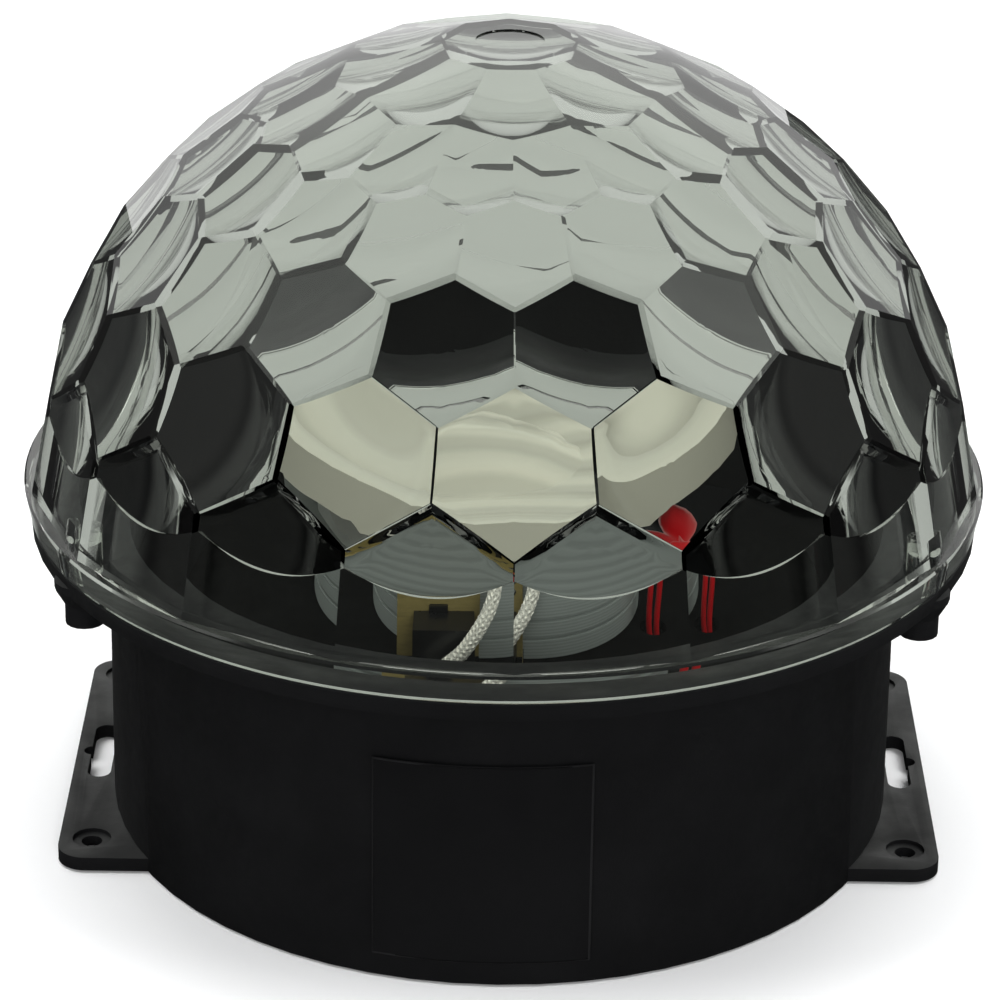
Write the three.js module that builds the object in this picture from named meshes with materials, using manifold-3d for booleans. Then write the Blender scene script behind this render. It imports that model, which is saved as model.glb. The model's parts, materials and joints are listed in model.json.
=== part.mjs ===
// A magic ball light: a clear dome of hexagonal lens facets on a round black base, with a
// drum of lamps under a slowly turning lens wheel. Millimetres, +Z up, the front faces -Y,
// and the origin is the middle of the floor under the rubber feet.
import * as THREE from 'three';
import { mergeVertices } from 'three/addons/utils/BufferGeometryUtils.js';
import Module from 'manifold-3d';

const wasm = await Module();
wasm.setup();

// Clearances
const seatGap = 0.3;
const overrun = 1;
const screwPlay = 0.3;
const weldDistance = 1e-4;

// Roundness
const fineSides = 60;
const middleSides = 28;
const smallSides = 16;
const tinySides = 10;

// Dome
const facetRadius = 96.2;
const facetsPerRow = 18;
const facetRowLatitudes = [10.9, 25.1, 39.4, 52, 63.2];
const crownFacets = 9;
const crownLatitude = 74.5;
const poleLatitude = 90;
const domeTurn = 1.3;
const domeCentreRise = 2.4;
const lensThickness = 5.6;
const lensRadius = 50;
const domeWall = 2.6;
const skirtArcHeight = 18.5;
const skirtArcSag = 4.2;
const lowLensLatitude = 16;
const lensRingShare = 0.55;
const skirtSteps = 4;
const capSteps = 3;
const flangeFootReach = 2.7;
const flangeTopReach = 3.7;
const flangeHeight = 6.2;
const flangeRootShare = 0.35;
const pillarRadius = 3.1;
const pillarHeight = 10;
const pillarInset = 2.2;
const pillarAngle = 63.5;
const gateRadius = 7;
const gateHeight = 0.8;

// Base housing
const baseLift = 0.6;
const baseHeight = 70.5;
const baseFootRadius = 83;
const baseTopRadius = 82.7;
const baseWall = 2.6;
const collarThickness = 3.5;
const collarTaper = 0.3;
const lugRadius = 4;
const lugDepth = 7.8;
const lugFlareRadius = 6;
const lugFlareDepth = 3.6;
const lugRibThickness = 2.4;
const lugRibExtraDepth = 3;
const earRoot = 33;
const earWidth = 9.2;
const earFront = -39.5;
const earRear = 52.5;
const earThickness = 3;
const earCornerRadius = 6;
const keyholeInset = 5.6;
const keyholeMiddle = 8.2;
const keyholeLength = 24;
const keyholeWidth = 5;
const keyholeNotchRadius = 1.9;
const keyholeNotchOffset = 2.3;
const earHoleInset = 6.8;
const earHoleFront = -30.8;
const earHoleRear = 45.5;
const earHoleRadius = 2.2;
const earHoleSinkRadius = 4.1;
const earHoleSinkDepth = 0.8;
const postInset = 8.2;
const postAngle = 45;
const postRadius = 4.2;
const postRibThickness = 2.4;

// Screws
const domeScrewRadius = 1.5;
const domeScrewHeadRadius = 2.8;
const domeScrewHeadHeight = 2;
const domeScrewBite = 6;
const coverScrewRadius = 1.5;
const coverScrewHeadRadius = 2.8;
const coverScrewHeadHeight = 1.8;
const coverScrewBite = 3.5;
const smallScrewRadius = 1.1;
const smallScrewHeadRadius = 2.1;
const smallScrewHeadHeight = 1.3;
const screwSlotWidth = 0.7;
const screwSlotDepth = 0.8;

// Bottom cover and feet
const coverRecess = 2;
const coverThickness = 2.5;
const footInset = 11;
const footAngle = 40;
const footRadius = 7;
const footBevel = 0.5;
const ventCount = 14;
const ventCircle = 37;
const ventLength = 15;
const ventWidth = 2.4;

// Floor that hides the electrics
const deckHeight = 46;
const deckThickness = 2;
const deckGap = 0.4;
const deckBossHeight = 5.2;
const deckBossRoof = 1;
const wireHoleRadius = 4;
const redHole = [36.3, -16];
const sleeveHoleRadius = 3;
const sleeveHole = [-15, -52];

// Lamp drum
const drumRadius = 33;
const drumHeight = 26.7;
const drumWall = 4.5;
const drumRoof = 4;
const drumGrooveDepth = 0.5;
const drumGrooveWidth = 1;
const drumGrooveStep = 4;
const drumGrooves = 2;
const shaftHoleRadius = 6;

// Lamps
const lampCount = 3;
const lampTurn = 30;
const lampCircle = 19;
const lampBoardRadius = 31;
const lampBoardThickness = 1.6;
const lampBaseRadius = 4;
const lampBaseHeight = 1.6;
const lampDomeRadius = 3;
const lampDomeRise = 2.4;

// Lens wheel
const wheelRadius = 38;
const wheelThickness = 2.5;
const wheelLift = 6;
const wheelRimWidth = 2;
const wheelRimHeight = 1.4;
const wheelLensCount = 8;
const wheelLensCircle = 20.5;
const wheelLensRadius = 7;
const wheelLensRise = 2.6;
const hubRadius = 6.5;
const hubFlange = 1.6;
const hubCollarRadius = 4.6;
const hubCollarDepth = 3.4;
const hubScrewWeb = 0.8;
const hubScrewLength = 5;

// Geared motor under the floor
const motorRadius = 25;
const motorWall = 0.8;
const motorDepth = 16.5;
const motorLidThickness = 0.9;
const motorEarReach = 30.75;
const motorEarRadius = 4;
const motorScrewBite = 6;
const outputShaftRadius = 3;
const bushRadius = 5;
const bushFlangeRadius = 6.4;
const bushFlange = 0.8;
const bushLength = 4;
const gearModule = 0.5;
const pinionTeeth = 10;
const wheelTeeth = 40;
const gearThickness = 1.8;
const gearLayerGap = 0.4;
const gearCentreSlack = 0.06;
const toothTipShare = 0.2;
const toothRootShare = 0.62;
const gearPinRadius = 0.8;
const gearPinPlay = 0.15;
const gearLayerLift = 1.3;
const rootShare = 1.25;
const idlerPinHeadRadius = 1.4;
const idlerPinHead = 0.5;
const magnetRadius = 10.5;
const magnetHeight = 5;
const coilInnerRadius = 12.4;
const coilOuterRadius = 23;
const coilHeight = 5;

// Board in front of the drum
const frontBoardWidth = 22;
const frontBoardHeight = 22;
const frontBoardThickness = 1.6;
const frontBoardX = -12;
const frontBoardY = -36.4;
const boardRibHeight = 3;
const boardRibThickness = 1.4;
const boardRibWidth = 5;
const blackBlockWidth = 16;
const blackBlockDepth = 9;
const blackBlockHeight = 9.5;
const blackBlockX = -10.5;
const blackBlockLift = 0.4;

// Wires
const redWireRadius = 0.85;
const sleeveRadius = 1.7;
const wireSteps = 23;
const wireSides = 8;
const redWireRoutes = [
  [[28.6, -7, 78.2], [33.6, -9, 78.6], [36, -11, 74], [36, -12.5, 60], [35.2, -14.4, 47], [37.5, -13.5, 36],
    [30, -9.5, 28], [26.3, -8.1, 24], [26, -8, 21.8]],
  [[27.4, -10.6, 78.2], [34.6, -13.4, 78.6], [38.2, -15.2, 74], [38.2, -16, 60], [37.2, -17.4, 47],
    [40.5, -14.5, 36], [34.5, -10.5, 28], [29.8, -8.2, 24], [29.4, -8, 21.8]],
];
const sleeveRoute = [
  [2, -29, 79], [2.8, -37, 78.4], [2, -45, 68], [-5, -50, 59], [-12.5, -51.8, 53.5], [-15, -52, 47],
  [-17, -50, 37], [-22, -43.4, 22], [-23, -41.6, 17], [-23, -41.2, 13],
];

// Control board on the bottom cover
const controlBoardWidth = 78;
const controlBoardDepth = 46;
const controlBoardThickness = 1.6;
const controlBoardY = -22;
const standoffHeight = 5;
const standoffRadius = 3;
const standoffInset = 5;
const boardScrewLength = 4.5;
const transformerSize = [22, 18, 14];
const transformerPlace = [-22, -24];
const bobbinFlange = 1.6;
const bobbinFlangeExtra = 2.6;
const capacitorRadius = 5;
const capacitorHeight = 12;
const capacitorPlace = [2, -30];
const terminalSize = [20, 8, 9];
const terminalPlace = [22, -8];

// Rear panel, a flat plate in a recess of the wall
const recessHalfWidth = 33;
const recessLow = 8;
const recessHigh = 43;
const recessDepth = 5.95;
const recessWall = 2.2;
const recessLedge = 2;
const recessSideLedge = 5;
const recessLedgeThickness = 3;
const panelThickness = 2.5;
const panelPlay = 0.3;
const panelScrewLength = 4.5;
const panelScrewX = 30.5;
const panelScrewZ = 25.5;

// Mains inlet
const inletX = 8;
const inletZ = 17.5;
const inletWidth = 20;
const inletHeight = 13;
const inletFlangeExtra = 1.5;
const inletFlange = 1.8;
const inletDepth = 14;
const socketReach = 3.4;
const socketRadius = 4.1;
const socketDepth = 11.5;
const inletPinRadius = 1.2;
const inletPinLength = 9.5;
const inletPinReach = 4.3;

// Rocker switch
const switchX = -19.5;
const switchZ = 25.5;
const switchWidth = 13.4;
const switchHeight = 18.8;
const switchBezelExtra = 1.3;
const switchBezel = 1.6;
const switchDepth = 13;
const rockerWidth = 10;
const rockerHalfHeight = 7;
const rockerFootHalfHeight = 6;
const rockerTipRise = 4.3;
const rockerMiddleRise = 3.2;
const rockerDepth = 2.6;
const rockerTilt = 8;
const rockerPlay = 0.45;
const rockerPitDepth = 6.2;
const rockerPinRadius = 0.9;
const rockerPinReach = 0.9;
const rockerPinPlay = 0.3;
const rockerSwing = 0.6;
const rockerAxisDepth = 2.2;

// Small controls in the panel's upper row
const controlRowZ = 33.6;
const buttonX = -5;
const buttonRadius = 3;
const buttonRise = 2.6;
const buttonLength = 10;
const buttonTravel = 1.2;
const buttonPlay = 0.3;
const buttonSleeveRadius = 4.4;
const buttonSleeveRise = 1.2;
const buttonCollarRadius = 3.6;
const buttonCollarLength = 1.5;
const buttonBoxSize = 9.2;
const buttonBoxDepth = 7;
const knobX = 8;
const knobRadius = 5.2;
const knobHeight = 8;
const knobLift = 1;
const knobFlutes = 12;
const knobFluteRadius = 0.7;
const knobPointerWidth = 0.9;
const knobPointerDepth = 0.5;
const knobShaftRadius = 2;
const knobShaftDepth = 4;
const potBushRadius = 3;
const potBushRise = 0.7;
const potBodySize = 10;
const potBodyDepth = 6;
const microphoneX = 21;
const microphoneRadius = 4.4;
const microphoneDepth = 5;
const microphoneHoleRadius = 1.4;

// Label plate
const labelWidth = 43.5;
const labelHeight = 44;
const labelThickness = 0.3;
const labelGap = 0.15;
const labelLift = 5;
const labelTurn = -2.3;

// Heights that follow from the sizes above
const collarTop = baseLift + baseHeight;
const collarFoot = collarTop - collarThickness;
const domeFoot = collarTop + seatGap;
const domeCentre = domeFoot + domeCentreRise;
const flangeTop = domeFoot + flangeHeight;
const lugFoot = collarFoot - lugDepth;
const coverFoot = baseLift + coverRecess;
const coverTop = coverFoot + coverThickness;
const postFoot = coverTop + seatGap;
const deckTop = deckHeight + deckThickness;
const drumFoot = deckTop + seatGap;
const drumTop = drumFoot + drumHeight;
const lampBoardFoot = drumTop + seatGap;
const lampBoardTop = lampBoardFoot + lampBoardThickness;
const wheelFoot = lampBoardTop + wheelLift;
const wheelTop = wheelFoot + wheelThickness;
const wallTaper = (baseFootRadius - baseTopRadius) / (collarFoot - baseLift);
const roomRadius = (height) => baseFootRadius - (height - baseLift) * wallTaper - baseWall;
const flangeFootRadius = facetRadius + flangeFootReach;
const flangeTopRadius = facetRadius + flangeTopReach;
const collarFootRadius = flangeFootRadius - collarTaper;
const pillarCircle = facetRadius - pillarInset;
const earReach = baseFootRadius + earWidth;
const keyholeReach = earReach - keyholeInset;
const earHoleReach = earReach - earHoleInset;
const postCircle = Math.min(roomRadius(coverFoot), roomRadius(deckTop)) - postInset;
const footCircle = postCircle - footInset;
const recessFloorY = Math.sqrt((roomRadius(recessHigh) + baseWall) ** 2 - recessHalfWidth ** 2) - recessDepth;
const panelFront = recessFloorY + seatGap + panelThickness;
const panelBack = recessFloorY + seatGap;
const motorLidTop = deckHeight - seatGap;
const motorLidFoot = motorLidTop - motorLidThickness;
const motorCanTop = motorLidFoot - seatGap;
const motorFoot = motorCanTop - motorDepth;

const radians = THREE.MathUtils.degToRad;
const part = new THREE.Group();

// A closed geometry as a solid that can be joined and cut
function solid(geometry) {
  const bare = geometry.index ? geometry.toNonIndexed() : geometry.clone();
  for (const name of Object.keys(bare.attributes)) {
    if (name !== 'position') bare.deleteAttribute(name);
  }
  const merged = mergeVertices(bare, weldDistance);
  const corners = merged.index.array;
  const kept = [];
  for (let i = 0; i < corners.length; i += 3) {
    const [a, b, c] = [corners[i], corners[i + 1], corners[i + 2]];
    if (a !== b && b !== c && c !== a) kept.push(a, b, c);
  }
  return new wasm.Manifold(new wasm.Mesh({
    numProp: 3,
    vertProperties: merged.attributes.position.array,
    triVerts: new Uint32Array(kept),
  }));
}

// The solid back as a geometry
function geometryOf(made) {
  const mesh = made.getMesh();
  const geometry = new THREE.BufferGeometry();
  geometry.setAttribute('position', new THREE.BufferAttribute(mesh.vertProperties, 3));
  geometry.setIndex(new THREE.BufferAttribute(mesh.triVerts, 1));
  return geometry;
}

// A named piece with its own material
function addPiece(name, made, look, group) {
  const geometry = geometryOf(made);
  geometry.computeVertexNormals();
  const mesh = new THREE.Mesh(geometry, new THREE.MeshStandardMaterial(look));
  mesh.name = name;
  group.add(mesh);
  return mesh;
}

// Copies of one piece, each in its own place
function addCopies(name, made, places, look, group) {
  places.forEach((place, i) => addPiece(`${name}_${i + 1}`, made, look, group).position.set(...place));
}

// Solids of revolution about Z, from a closed outline of [radius, height] points
function turned(outline, sides) {
  const points = outline.map(([radius, height]) => new THREE.Vector2(radius, height));
  if (THREE.ShapeUtils.isClockWise(points)) points.reverse();
  points.push(points[0].clone());
  return solid(new THREE.LatheGeometry(points, sides).rotateX(Math.PI / 2));
}

function disc(radius, foot, top, sides) {
  return turned([[0, foot], [radius, foot], [radius, top], [0, top]], sides);
}

function ring(outer, inner, foot, top, sides) {
  return turned([[inner, foot], [outer, foot], [outer, top], [inner, top]], sides);
}

// A cylinder that lies along Y
function rod(radius, y0, y1, x, z, sides) {
  const geometry = new THREE.CylinderGeometry(radius, radius, y1 - y0, sides);
  return solid(geometry.translate(x, (y0 + y1) / 2, z));
}

function box(x0, x1, y0, y1, z0, z1) {
  const geometry = new THREE.BoxGeometry(x1 - x0, y1 - y0, z1 - z0);
  return solid(geometry.translate((x0 + x1) / 2, (y0 + y1) / 2, (z0 + z1) / 2));
}

// A flat shape raised along Z
function raised(shape, foot, top, curveSegments = tinySides) {
  const options = { depth: top - foot, bevelEnabled: false, curveSegments };
  return solid(new THREE.ExtrudeGeometry(shape, options).translate(0, 0, foot));
}

function shapeOf(points) {
  return new THREE.Shape(points.map(([x, y]) => new THREE.Vector2(x, y)));
}

// A rectangle with round corners, seen from above
function roundedPlate(x0, x1, y0, y1, radius) {
  const shape = new THREE.Shape();
  shape.moveTo(x0 + radius, y0);
  shape.lineTo(x1 - radius, y0);
  shape.absarc(x1 - radius, y0 + radius, radius, -Math.PI / 2, 0);
  shape.lineTo(x1, y1 - radius);
  shape.absarc(x1 - radius, y1 - radius, radius, 0, Math.PI / 2);
  shape.lineTo(x0 + radius, y1);
  shape.absarc(x0 + radius, y1 - radius, radius, Math.PI / 2, Math.PI);
  shape.lineTo(x0, y0 + radius);
  shape.absarc(x0 + radius, y0 + radius, radius, Math.PI, Math.PI * 1.5);
  return shape;
}

function turnedAboutZ(made, degrees) {
  return made.rotate([0, 0, degrees]);
}

// Copies at even angles round Z, joined into one solid
function roundCopies(made, count, firstDegrees = 0) {
  const turns = Array.from({ length: count }, (_, i) => firstDegrees + (i * 360) / count);
  return wasm.Manifold.union(turns.map((degrees) => turnedAboutZ(made, degrees)));
}

// A place on a circle, with the angle counted from the front towards +X
function onCircle(radius, degrees) {
  return [radius * Math.sin(radians(degrees)), -radius * Math.cos(radians(degrees))];
}

// The four places at plus and minus one angle from the front and from the rear
function fourAngles(degrees) {
  return [degrees, 180 - degrees, 180 + degrees, -degrees];
}

// A screw that points up, with its slotted head at zero height
function screw(shankRadius, headRadius, headHeight, length, sides = tinySides) {
  const body = disc(shankRadius, headHeight / 2, headHeight + length, sides);
  const head = turned([[0, 0], [headRadius, 0], [headRadius, headHeight], [0, headHeight]], sides);
  const half = screwSlotWidth / 2;
  const slot = box(-headRadius, headRadius, -half, half, -overrun, screwSlotDepth);
  return head.add(body).subtract(slot);
}

// Materials, as the photograph shows them
const looks = {
  clear: { color: 0xe9eeea, roughness: 0.04, metalness: 0, transparent: true, opacity: 0.35 },
  blackPlastic: { color: 0x151515, roughness: 0.45, metalness: 0 },
  sticker: { color: 0x101010, roughness: 0.35, metalness: 0 },
  rubber: { color: 0x1a1a1a, roughness: 0.9, metalness: 0 },
  steel: { color: 0x9a9c9f, roughness: 0.35, metalness: 1 },
  aluminium: { color: 0xa9adb0, roughness: 0.32, metalness: 1 },
  brass: { color: 0xb9974f, roughness: 0.35, metalness: 1 },
  whiteBoard: { color: 0xe8e6dc, roughness: 0.4, metalness: 0 },
  brownBoard: { color: 0x6f6238, roughness: 0.5, metalness: 0 },
  greenBoard: { color: 0x1f4a33, roughness: 0.45, metalness: 0 },
  copper: { color: 0x9a5a2c, roughness: 0.4, metalness: 1 },
  whitePlastic: { color: 0xdedbd2, roughness: 0.45, metalness: 0 },
  redWire: { color: 0xb3161b, roughness: 0.4, metalness: 0 },
  whiteSleeve: { color: 0xe4e0d6, roughness: 0.85, metalness: 0 },
  yellowTape: { color: 0xc9a227, roughness: 0.5, metalness: 0 },
  bluePlastic: { color: 0x1c3f73, roughness: 0.45, metalness: 0 },
  magnet: { color: 0x3a3a3d, roughness: 0.6, metalness: 0.2 },
};

// The clear dome
function skyDirection(latitude, azimuth) {
  const [level, turn] = [radians(latitude), radians(azimuth)];
  const flat = Math.cos(level);
  return new THREE.Vector3(flat * Math.sin(turn), -flat * Math.cos(turn), Math.sin(level));
}

// Rows of facets, each row staggered by half a facet from the one below
function facetCells() {
  const cells = [];
  const step = 360 / facetsPerRow;
  facetRowLatitudes.forEach((latitude, row) => {
    for (let i = 0; i < facetsPerRow; i += 1) {
      const azimuth = domeTurn + (row % 2 === 0 ? i + 1 / 2 : i) * step;
      cells.push({ azimuth, lowest: row === 0, normal: skyDirection(latitude, azimuth) });
    }
  });
  for (let i = 0; i < crownFacets; i += 1) {
    const azimuth = domeTurn + (i * 360) / crownFacets;
    cells.push({ azimuth, lowest: false, normal: skyDirection(crownLatitude, azimuth) });
  }
  cells.push({ azimuth: 0, lowest: false, normal: skyDirection(poleLatitude, 0) });
  return cells;
}

// The part of a polygon on the inner side of a plane
function clipped(polygon, normal, reach) {
  const kept = [];
  polygon.forEach((from, i) => {
    const to = polygon[(i + 1) % polygon.length];
    const [a, b] = [from.dot(normal) - reach, to.dot(normal) - reach];
    if (a <= weldDistance) kept.push(from);
    if ((a < -weldDistance && b > weldDistance) || (a > weldDistance && b < -weldDistance)) {
      kept.push(from.clone().lerp(to, a / (a - b)));
    }
  });
  return kept;
}

// The outer corners of a facet, anticlockwise from outside, about the dome's centre
function facetCorners(cell, cells) {
  const east = skyDirection(0, cell.azimuth + 360 / 4);
  const north = cell.normal.clone().cross(east);
  const middle = cell.normal.clone().multiplyScalar(facetRadius);
  let polygon = [[-1, -1], [1, -1], [1, 1], [-1, 1]].map(([across, up]) => middle.clone()
    .addScaledVector(east, across * facetRadius).addScaledVector(north, up * facetRadius));
  for (const other of cells) {
    if (other !== cell) polygon = clipped(polygon, other.normal, facetRadius);
  }
  polygon = clipped(polygon, new THREE.Vector3(0, 0, -1), domeCentreRise);
  if (!cell.lowest) return polygon;
  const first = polygon.findIndex((corner, i) => onFoot(corner) && onFoot(polygon[(i + 1) % polygon.length]));
  return [...polygon.slice(first), ...polygon.slice(0, first)];
}

function onFoot(corner) {
  return corner.z < weldDistance - domeCentreRise;
}

// How far the lens bump behind a facet lies from the dome's centre, in one direction
function lensDistance(cell, direction) {
  const reach = facetRadius - lensThickness + lensRadius;
  const along = reach * cell.normal.dot(direction);
  return along - Math.sqrt(lensRadius ** 2 - reach ** 2 + along ** 2);
}

// A point of the plain inner wall of the skirt, at a height from the dome's centre
function skirtPoint(azimuth, height) {
  const slope = radians(facetRowLatitudes[0]);
  const radius = (facetRadius - domeWall - height * Math.sin(slope)) / Math.cos(slope);
  return skyDirection(0, azimuth).multiplyScalar(radius).setZ(height);
}

// A closed mesh that is gathered face by face
class Shell {
  constructor() {
    this.points = [];
    this.faces = [];
  }

  index(point) {
    const known = this.points.findIndex((other) => other.distanceTo(point) < weldDistance);
    if (known >= 0) return known;
    this.points.push(point);
    return this.points.length - 1;
  }

  triangle(a, b, c) {
    const corners = [a, b, c].map((point) => this.index(point));
    if (new Set(corners).size === corners.length) this.faces.push(...corners);
  }

  // Triangles from a middle point to a closed line round it
  fan(middle, border, inward) {
    border.forEach((point, i) => {
      const next = border[(i + 1) % border.length];
      if (inward) this.triangle(middle, next, point);
      else this.triangle(middle, point, next);
    });
  }

  // Quads between two lines of points, with the upper line on the left hand
  strip(lower, upper) {
    for (let i = 0; i + 1 < lower.length; i += 1) {
      this.triangle(lower[i], lower[i + 1], upper[i + 1]);
      this.triangle(lower[i], upper[i + 1], upper[i]);
    }
  }

  geometry() {
    const geometry = new THREE.BufferGeometry();
    geometry.setFromPoints(this.points);
    geometry.setIndex(this.faces);
    return geometry;
  }
}

// The lens bump behind an ordinary facet: a middle, one ring and the facet's border
function addLens(shell, cell, corners) {
  const border = corners.map((corner) => corner.clone().normalize());
  const inner = border.map((way) => cell.normal.clone().lerp(way, lensRingShare).normalize());
  const [edge, ringPoints] = [border, inner].map((ways) => ways.map((way) => way.clone()
    .multiplyScalar(lensDistance(cell, way))));
  const middle = cell.normal.clone().multiplyScalar(facetRadius - lensThickness);
  shell.fan(middle, ringPoints, true);
  shell.strip([...ringPoints, ringPoints[0]], [...edge, edge[0]]);
}

// The lowest row's bump ends in an arc, with a plain skirt under it
function addLowLens(shell, cell, corners) {
  const half = 180 / facetsPerRow;
  const arc = [];
  const foot = [];
  for (let i = 0; i <= skirtSteps; i += 1) {
    const side = (2 * i) / skirtSteps - 1;
    const azimuth = cell.azimuth + side * half;
    arc.push(skirtPoint(azimuth, skirtArcHeight - domeCentreRise + skirtArcSag * side ** 2));
    foot.push(skirtPoint(azimuth, -domeCentreRise));
  }
  const upper = corners.slice(2).map((corner) => {
    const way = corner.clone().normalize();
    return way.multiplyScalar(lensDistance(cell, way));
  });
  const way = skyDirection(lowLensLatitude, cell.azimuth);
  const middle = way.clone().multiplyScalar(facetRadius / cell.normal.dot(way) - lensThickness);
  shell.fan(middle, [...arc, ...upper], true);
  shell.strip(arc, foot);
  const rim = footLine(corners[0], corners[1]);
  shell.strip(foot, rim);
  return rim;
}

// A facet's straight foot, in as many steps as the skirt behind it
function footLine(from, to) {
  return Array.from({ length: skirtSteps + 1 }, (_, i) => from.clone().lerp(to, i / skirtSteps));
}

function makeDome() {
  const shell = new Shell();
  const cells = facetCells();
  for (const cell of cells) {
    const corners = facetCorners(cell, cells);
    let border = corners;
    if (cell.lowest) border = [...addLowLens(shell, cell, corners), ...corners.slice(2)];
    else addLens(shell, cell, corners);
    shell.fan(cell.normal.clone().multiplyScalar(facetRadius), border, false);
  }
  const skin = solid(shell.geometry().translate(0, 0, domeCentre));
  const root = skirtPoint(0, -domeCentreRise).length() + domeWall * flangeRootShare;
  const flange = turned([
    [root, domeFoot], [flangeFootRadius, domeFoot], [flangeTopRadius, flangeTop], [root, flangeTop],
  ], fineSides);
  const pillar = disc(pillarRadius, domeFoot, domeFoot + pillarHeight, smallSides);
  const pilotTop = domeFoot + domeScrewBite + seatGap;
  const pilot = disc(domeScrewRadius + screwPlay, domeFoot - overrun, pilotTop, tinySides);
  const domeTop = domeCentre + facetRadius;
  const gate = disc(gateRadius, domeTop - gateHeight, domeTop + overrun, middleSides);
  return wasm.Manifold.union([skin, flange, atPlaces(pillar, lugPlaces)])
    .subtract(atPlaces(pilot, lugPlaces).add(gate));
}

// The base housing
function makeLug() {
  const body = disc(lugRadius, lugFoot, collarFoot + collarThickness / 2, smallSides);
  const flare = turned([
    [0, collarFoot - lugFlareDepth], [lugRadius, collarFoot - lugFlareDepth],
    [lugFlareRadius, collarFoot], [lugFlareRadius, collarFoot + collarThickness / 2],
    [0, collarFoot + collarThickness / 2],
  ], smallSides);
  const [ribFoot, ribTop] = [lugFoot - lugRibExtraDepth, collarFoot + collarThickness / 2];
  const rib = shapeOf([
    [roomRadius(ribFoot) + baseWall / 2, ribFoot], [pillarCircle, lugFoot],
    [pillarCircle, ribTop], [roomRadius(ribTop) + baseWall / 2, ribTop],
  ]);
  const ribBody = raised(rib, -lugRibThickness / 2, lugRibThickness / 2).rotate([90, 0, 0]);
  return body.add(flare).translate([pillarCircle, 0, 0]).add(ribBody);
}

function lugBore() {
  const through = disc(domeScrewRadius + screwPlay, lugFoot - overrun, collarTop + overrun, tinySides);
  const head = disc(domeScrewHeadRadius + screwPlay, lugFoot - overrun,
    lugFoot + domeScrewHeadHeight + seatGap, smallSides);
  return through.add(head).translate([pillarCircle, 0, 0]);
}

// Angles counted from the front become turns from the +X axis
function atAngle(made, degrees) {
  return turnedAboutZ(made, degrees - 90);
}

function makeEar(side) {
  const outline = roundedPlate(baseFootRadius - earRoot, earReach, earFront, earRear, earCornerRadius);
  const plate = raised(outline, baseLift, baseLift + earThickness);
  return side > 0 ? plate : plate.mirror([1, 0, 0]);
}

function earCuts(side) {
  const [low, high] = [baseLift - overrun, baseLift + earThickness + overrun];
  const slot = new THREE.Shape();
  const [slotHalf, slotRun] = [keyholeWidth / 2, (keyholeLength - keyholeWidth) / 2];
  slot.absarc(keyholeReach, keyholeMiddle + slotRun, slotHalf, 0, Math.PI);
  slot.absarc(keyholeReach, keyholeMiddle - slotRun, slotHalf, Math.PI, Math.PI * 2);
  const notch = disc(keyholeNotchRadius, low, high, smallSides)
    .translate([keyholeReach + keyholeNotchOffset, keyholeMiddle, 0]);
  const hole = disc(earHoleRadius, low, high, smallSides);
  const sink = disc(earHoleSinkRadius, baseLift + earThickness - earHoleSinkDepth, high, smallSides);
  const holes = [earHoleFront, earHoleRear].map((y) => hole.add(sink).translate([earHoleReach, y, 0]));
  const cuts = wasm.Manifold.union([raised(slot, low, high), notch, ...holes]);
  return side > 0 ? cuts : cuts.mirror([1, 0, 0]);
}

function makePost() {
  const [low, high] = [postFoot, deckHeight - seatGap];
  const half = postRibThickness / 2;
  const [ribLow, ribHigh] = [roomRadius(low) + baseWall / 2, roomRadius(high) + baseWall / 2];
  const outline = shapeOf([[postCircle, low], [ribLow, low], [ribHigh, high], [postCircle, high]]);
  const rib = raised(outline, -half, half).rotate([90, 0, 0]);
  return disc(postRadius, low, high, smallSides).translate([postCircle, 0, 0]).add(rib);
}

function postBore() {
  const bore = disc(coverScrewRadius + screwPlay, postFoot - overrun, deckHeight + overrun, tinySides);
  return bore.translate([postCircle, 0, 0]);
}

// A disc that fills the room inside the wall, less a gap all round
function roomDisc(gap, foot, top) {
  const [lowReach, highReach] = [roomRadius(foot) - gap, roomRadius(top) - gap];
  return turned([[0, foot], [lowReach, foot], [highReach, top], [0, top]], fineSides);
}

// The recess that the rear panel sits in: a frame behind the wall, with a ledge round its opening
function recessFrame() {
  const x = recessHalfWidth + recessWall;
  const [low, high] = [recessLow - recessWall, recessHigh + recessWall];
  const block = box(-x, x, recessFloorY - recessLedgeThickness, baseFootRadius + baseTopRadius, low, high);
  return block.intersect(roomDisc(-baseWall / 2, low - overrun, high + overrun));
}

function recessCut() {
  const far = baseFootRadius + baseTopRadius;
  const room = box(-recessHalfWidth, recessHalfWidth, recessFloorY, far, recessLow, recessHigh);
  const x = recessHalfWidth - recessSideLedge;
  const way = box(-x, x, recessFloorY - recessLedgeThickness - overrun, far,
    recessLow + recessLedge, recessHigh - recessLedge);
  return room.add(way);
}

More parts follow.
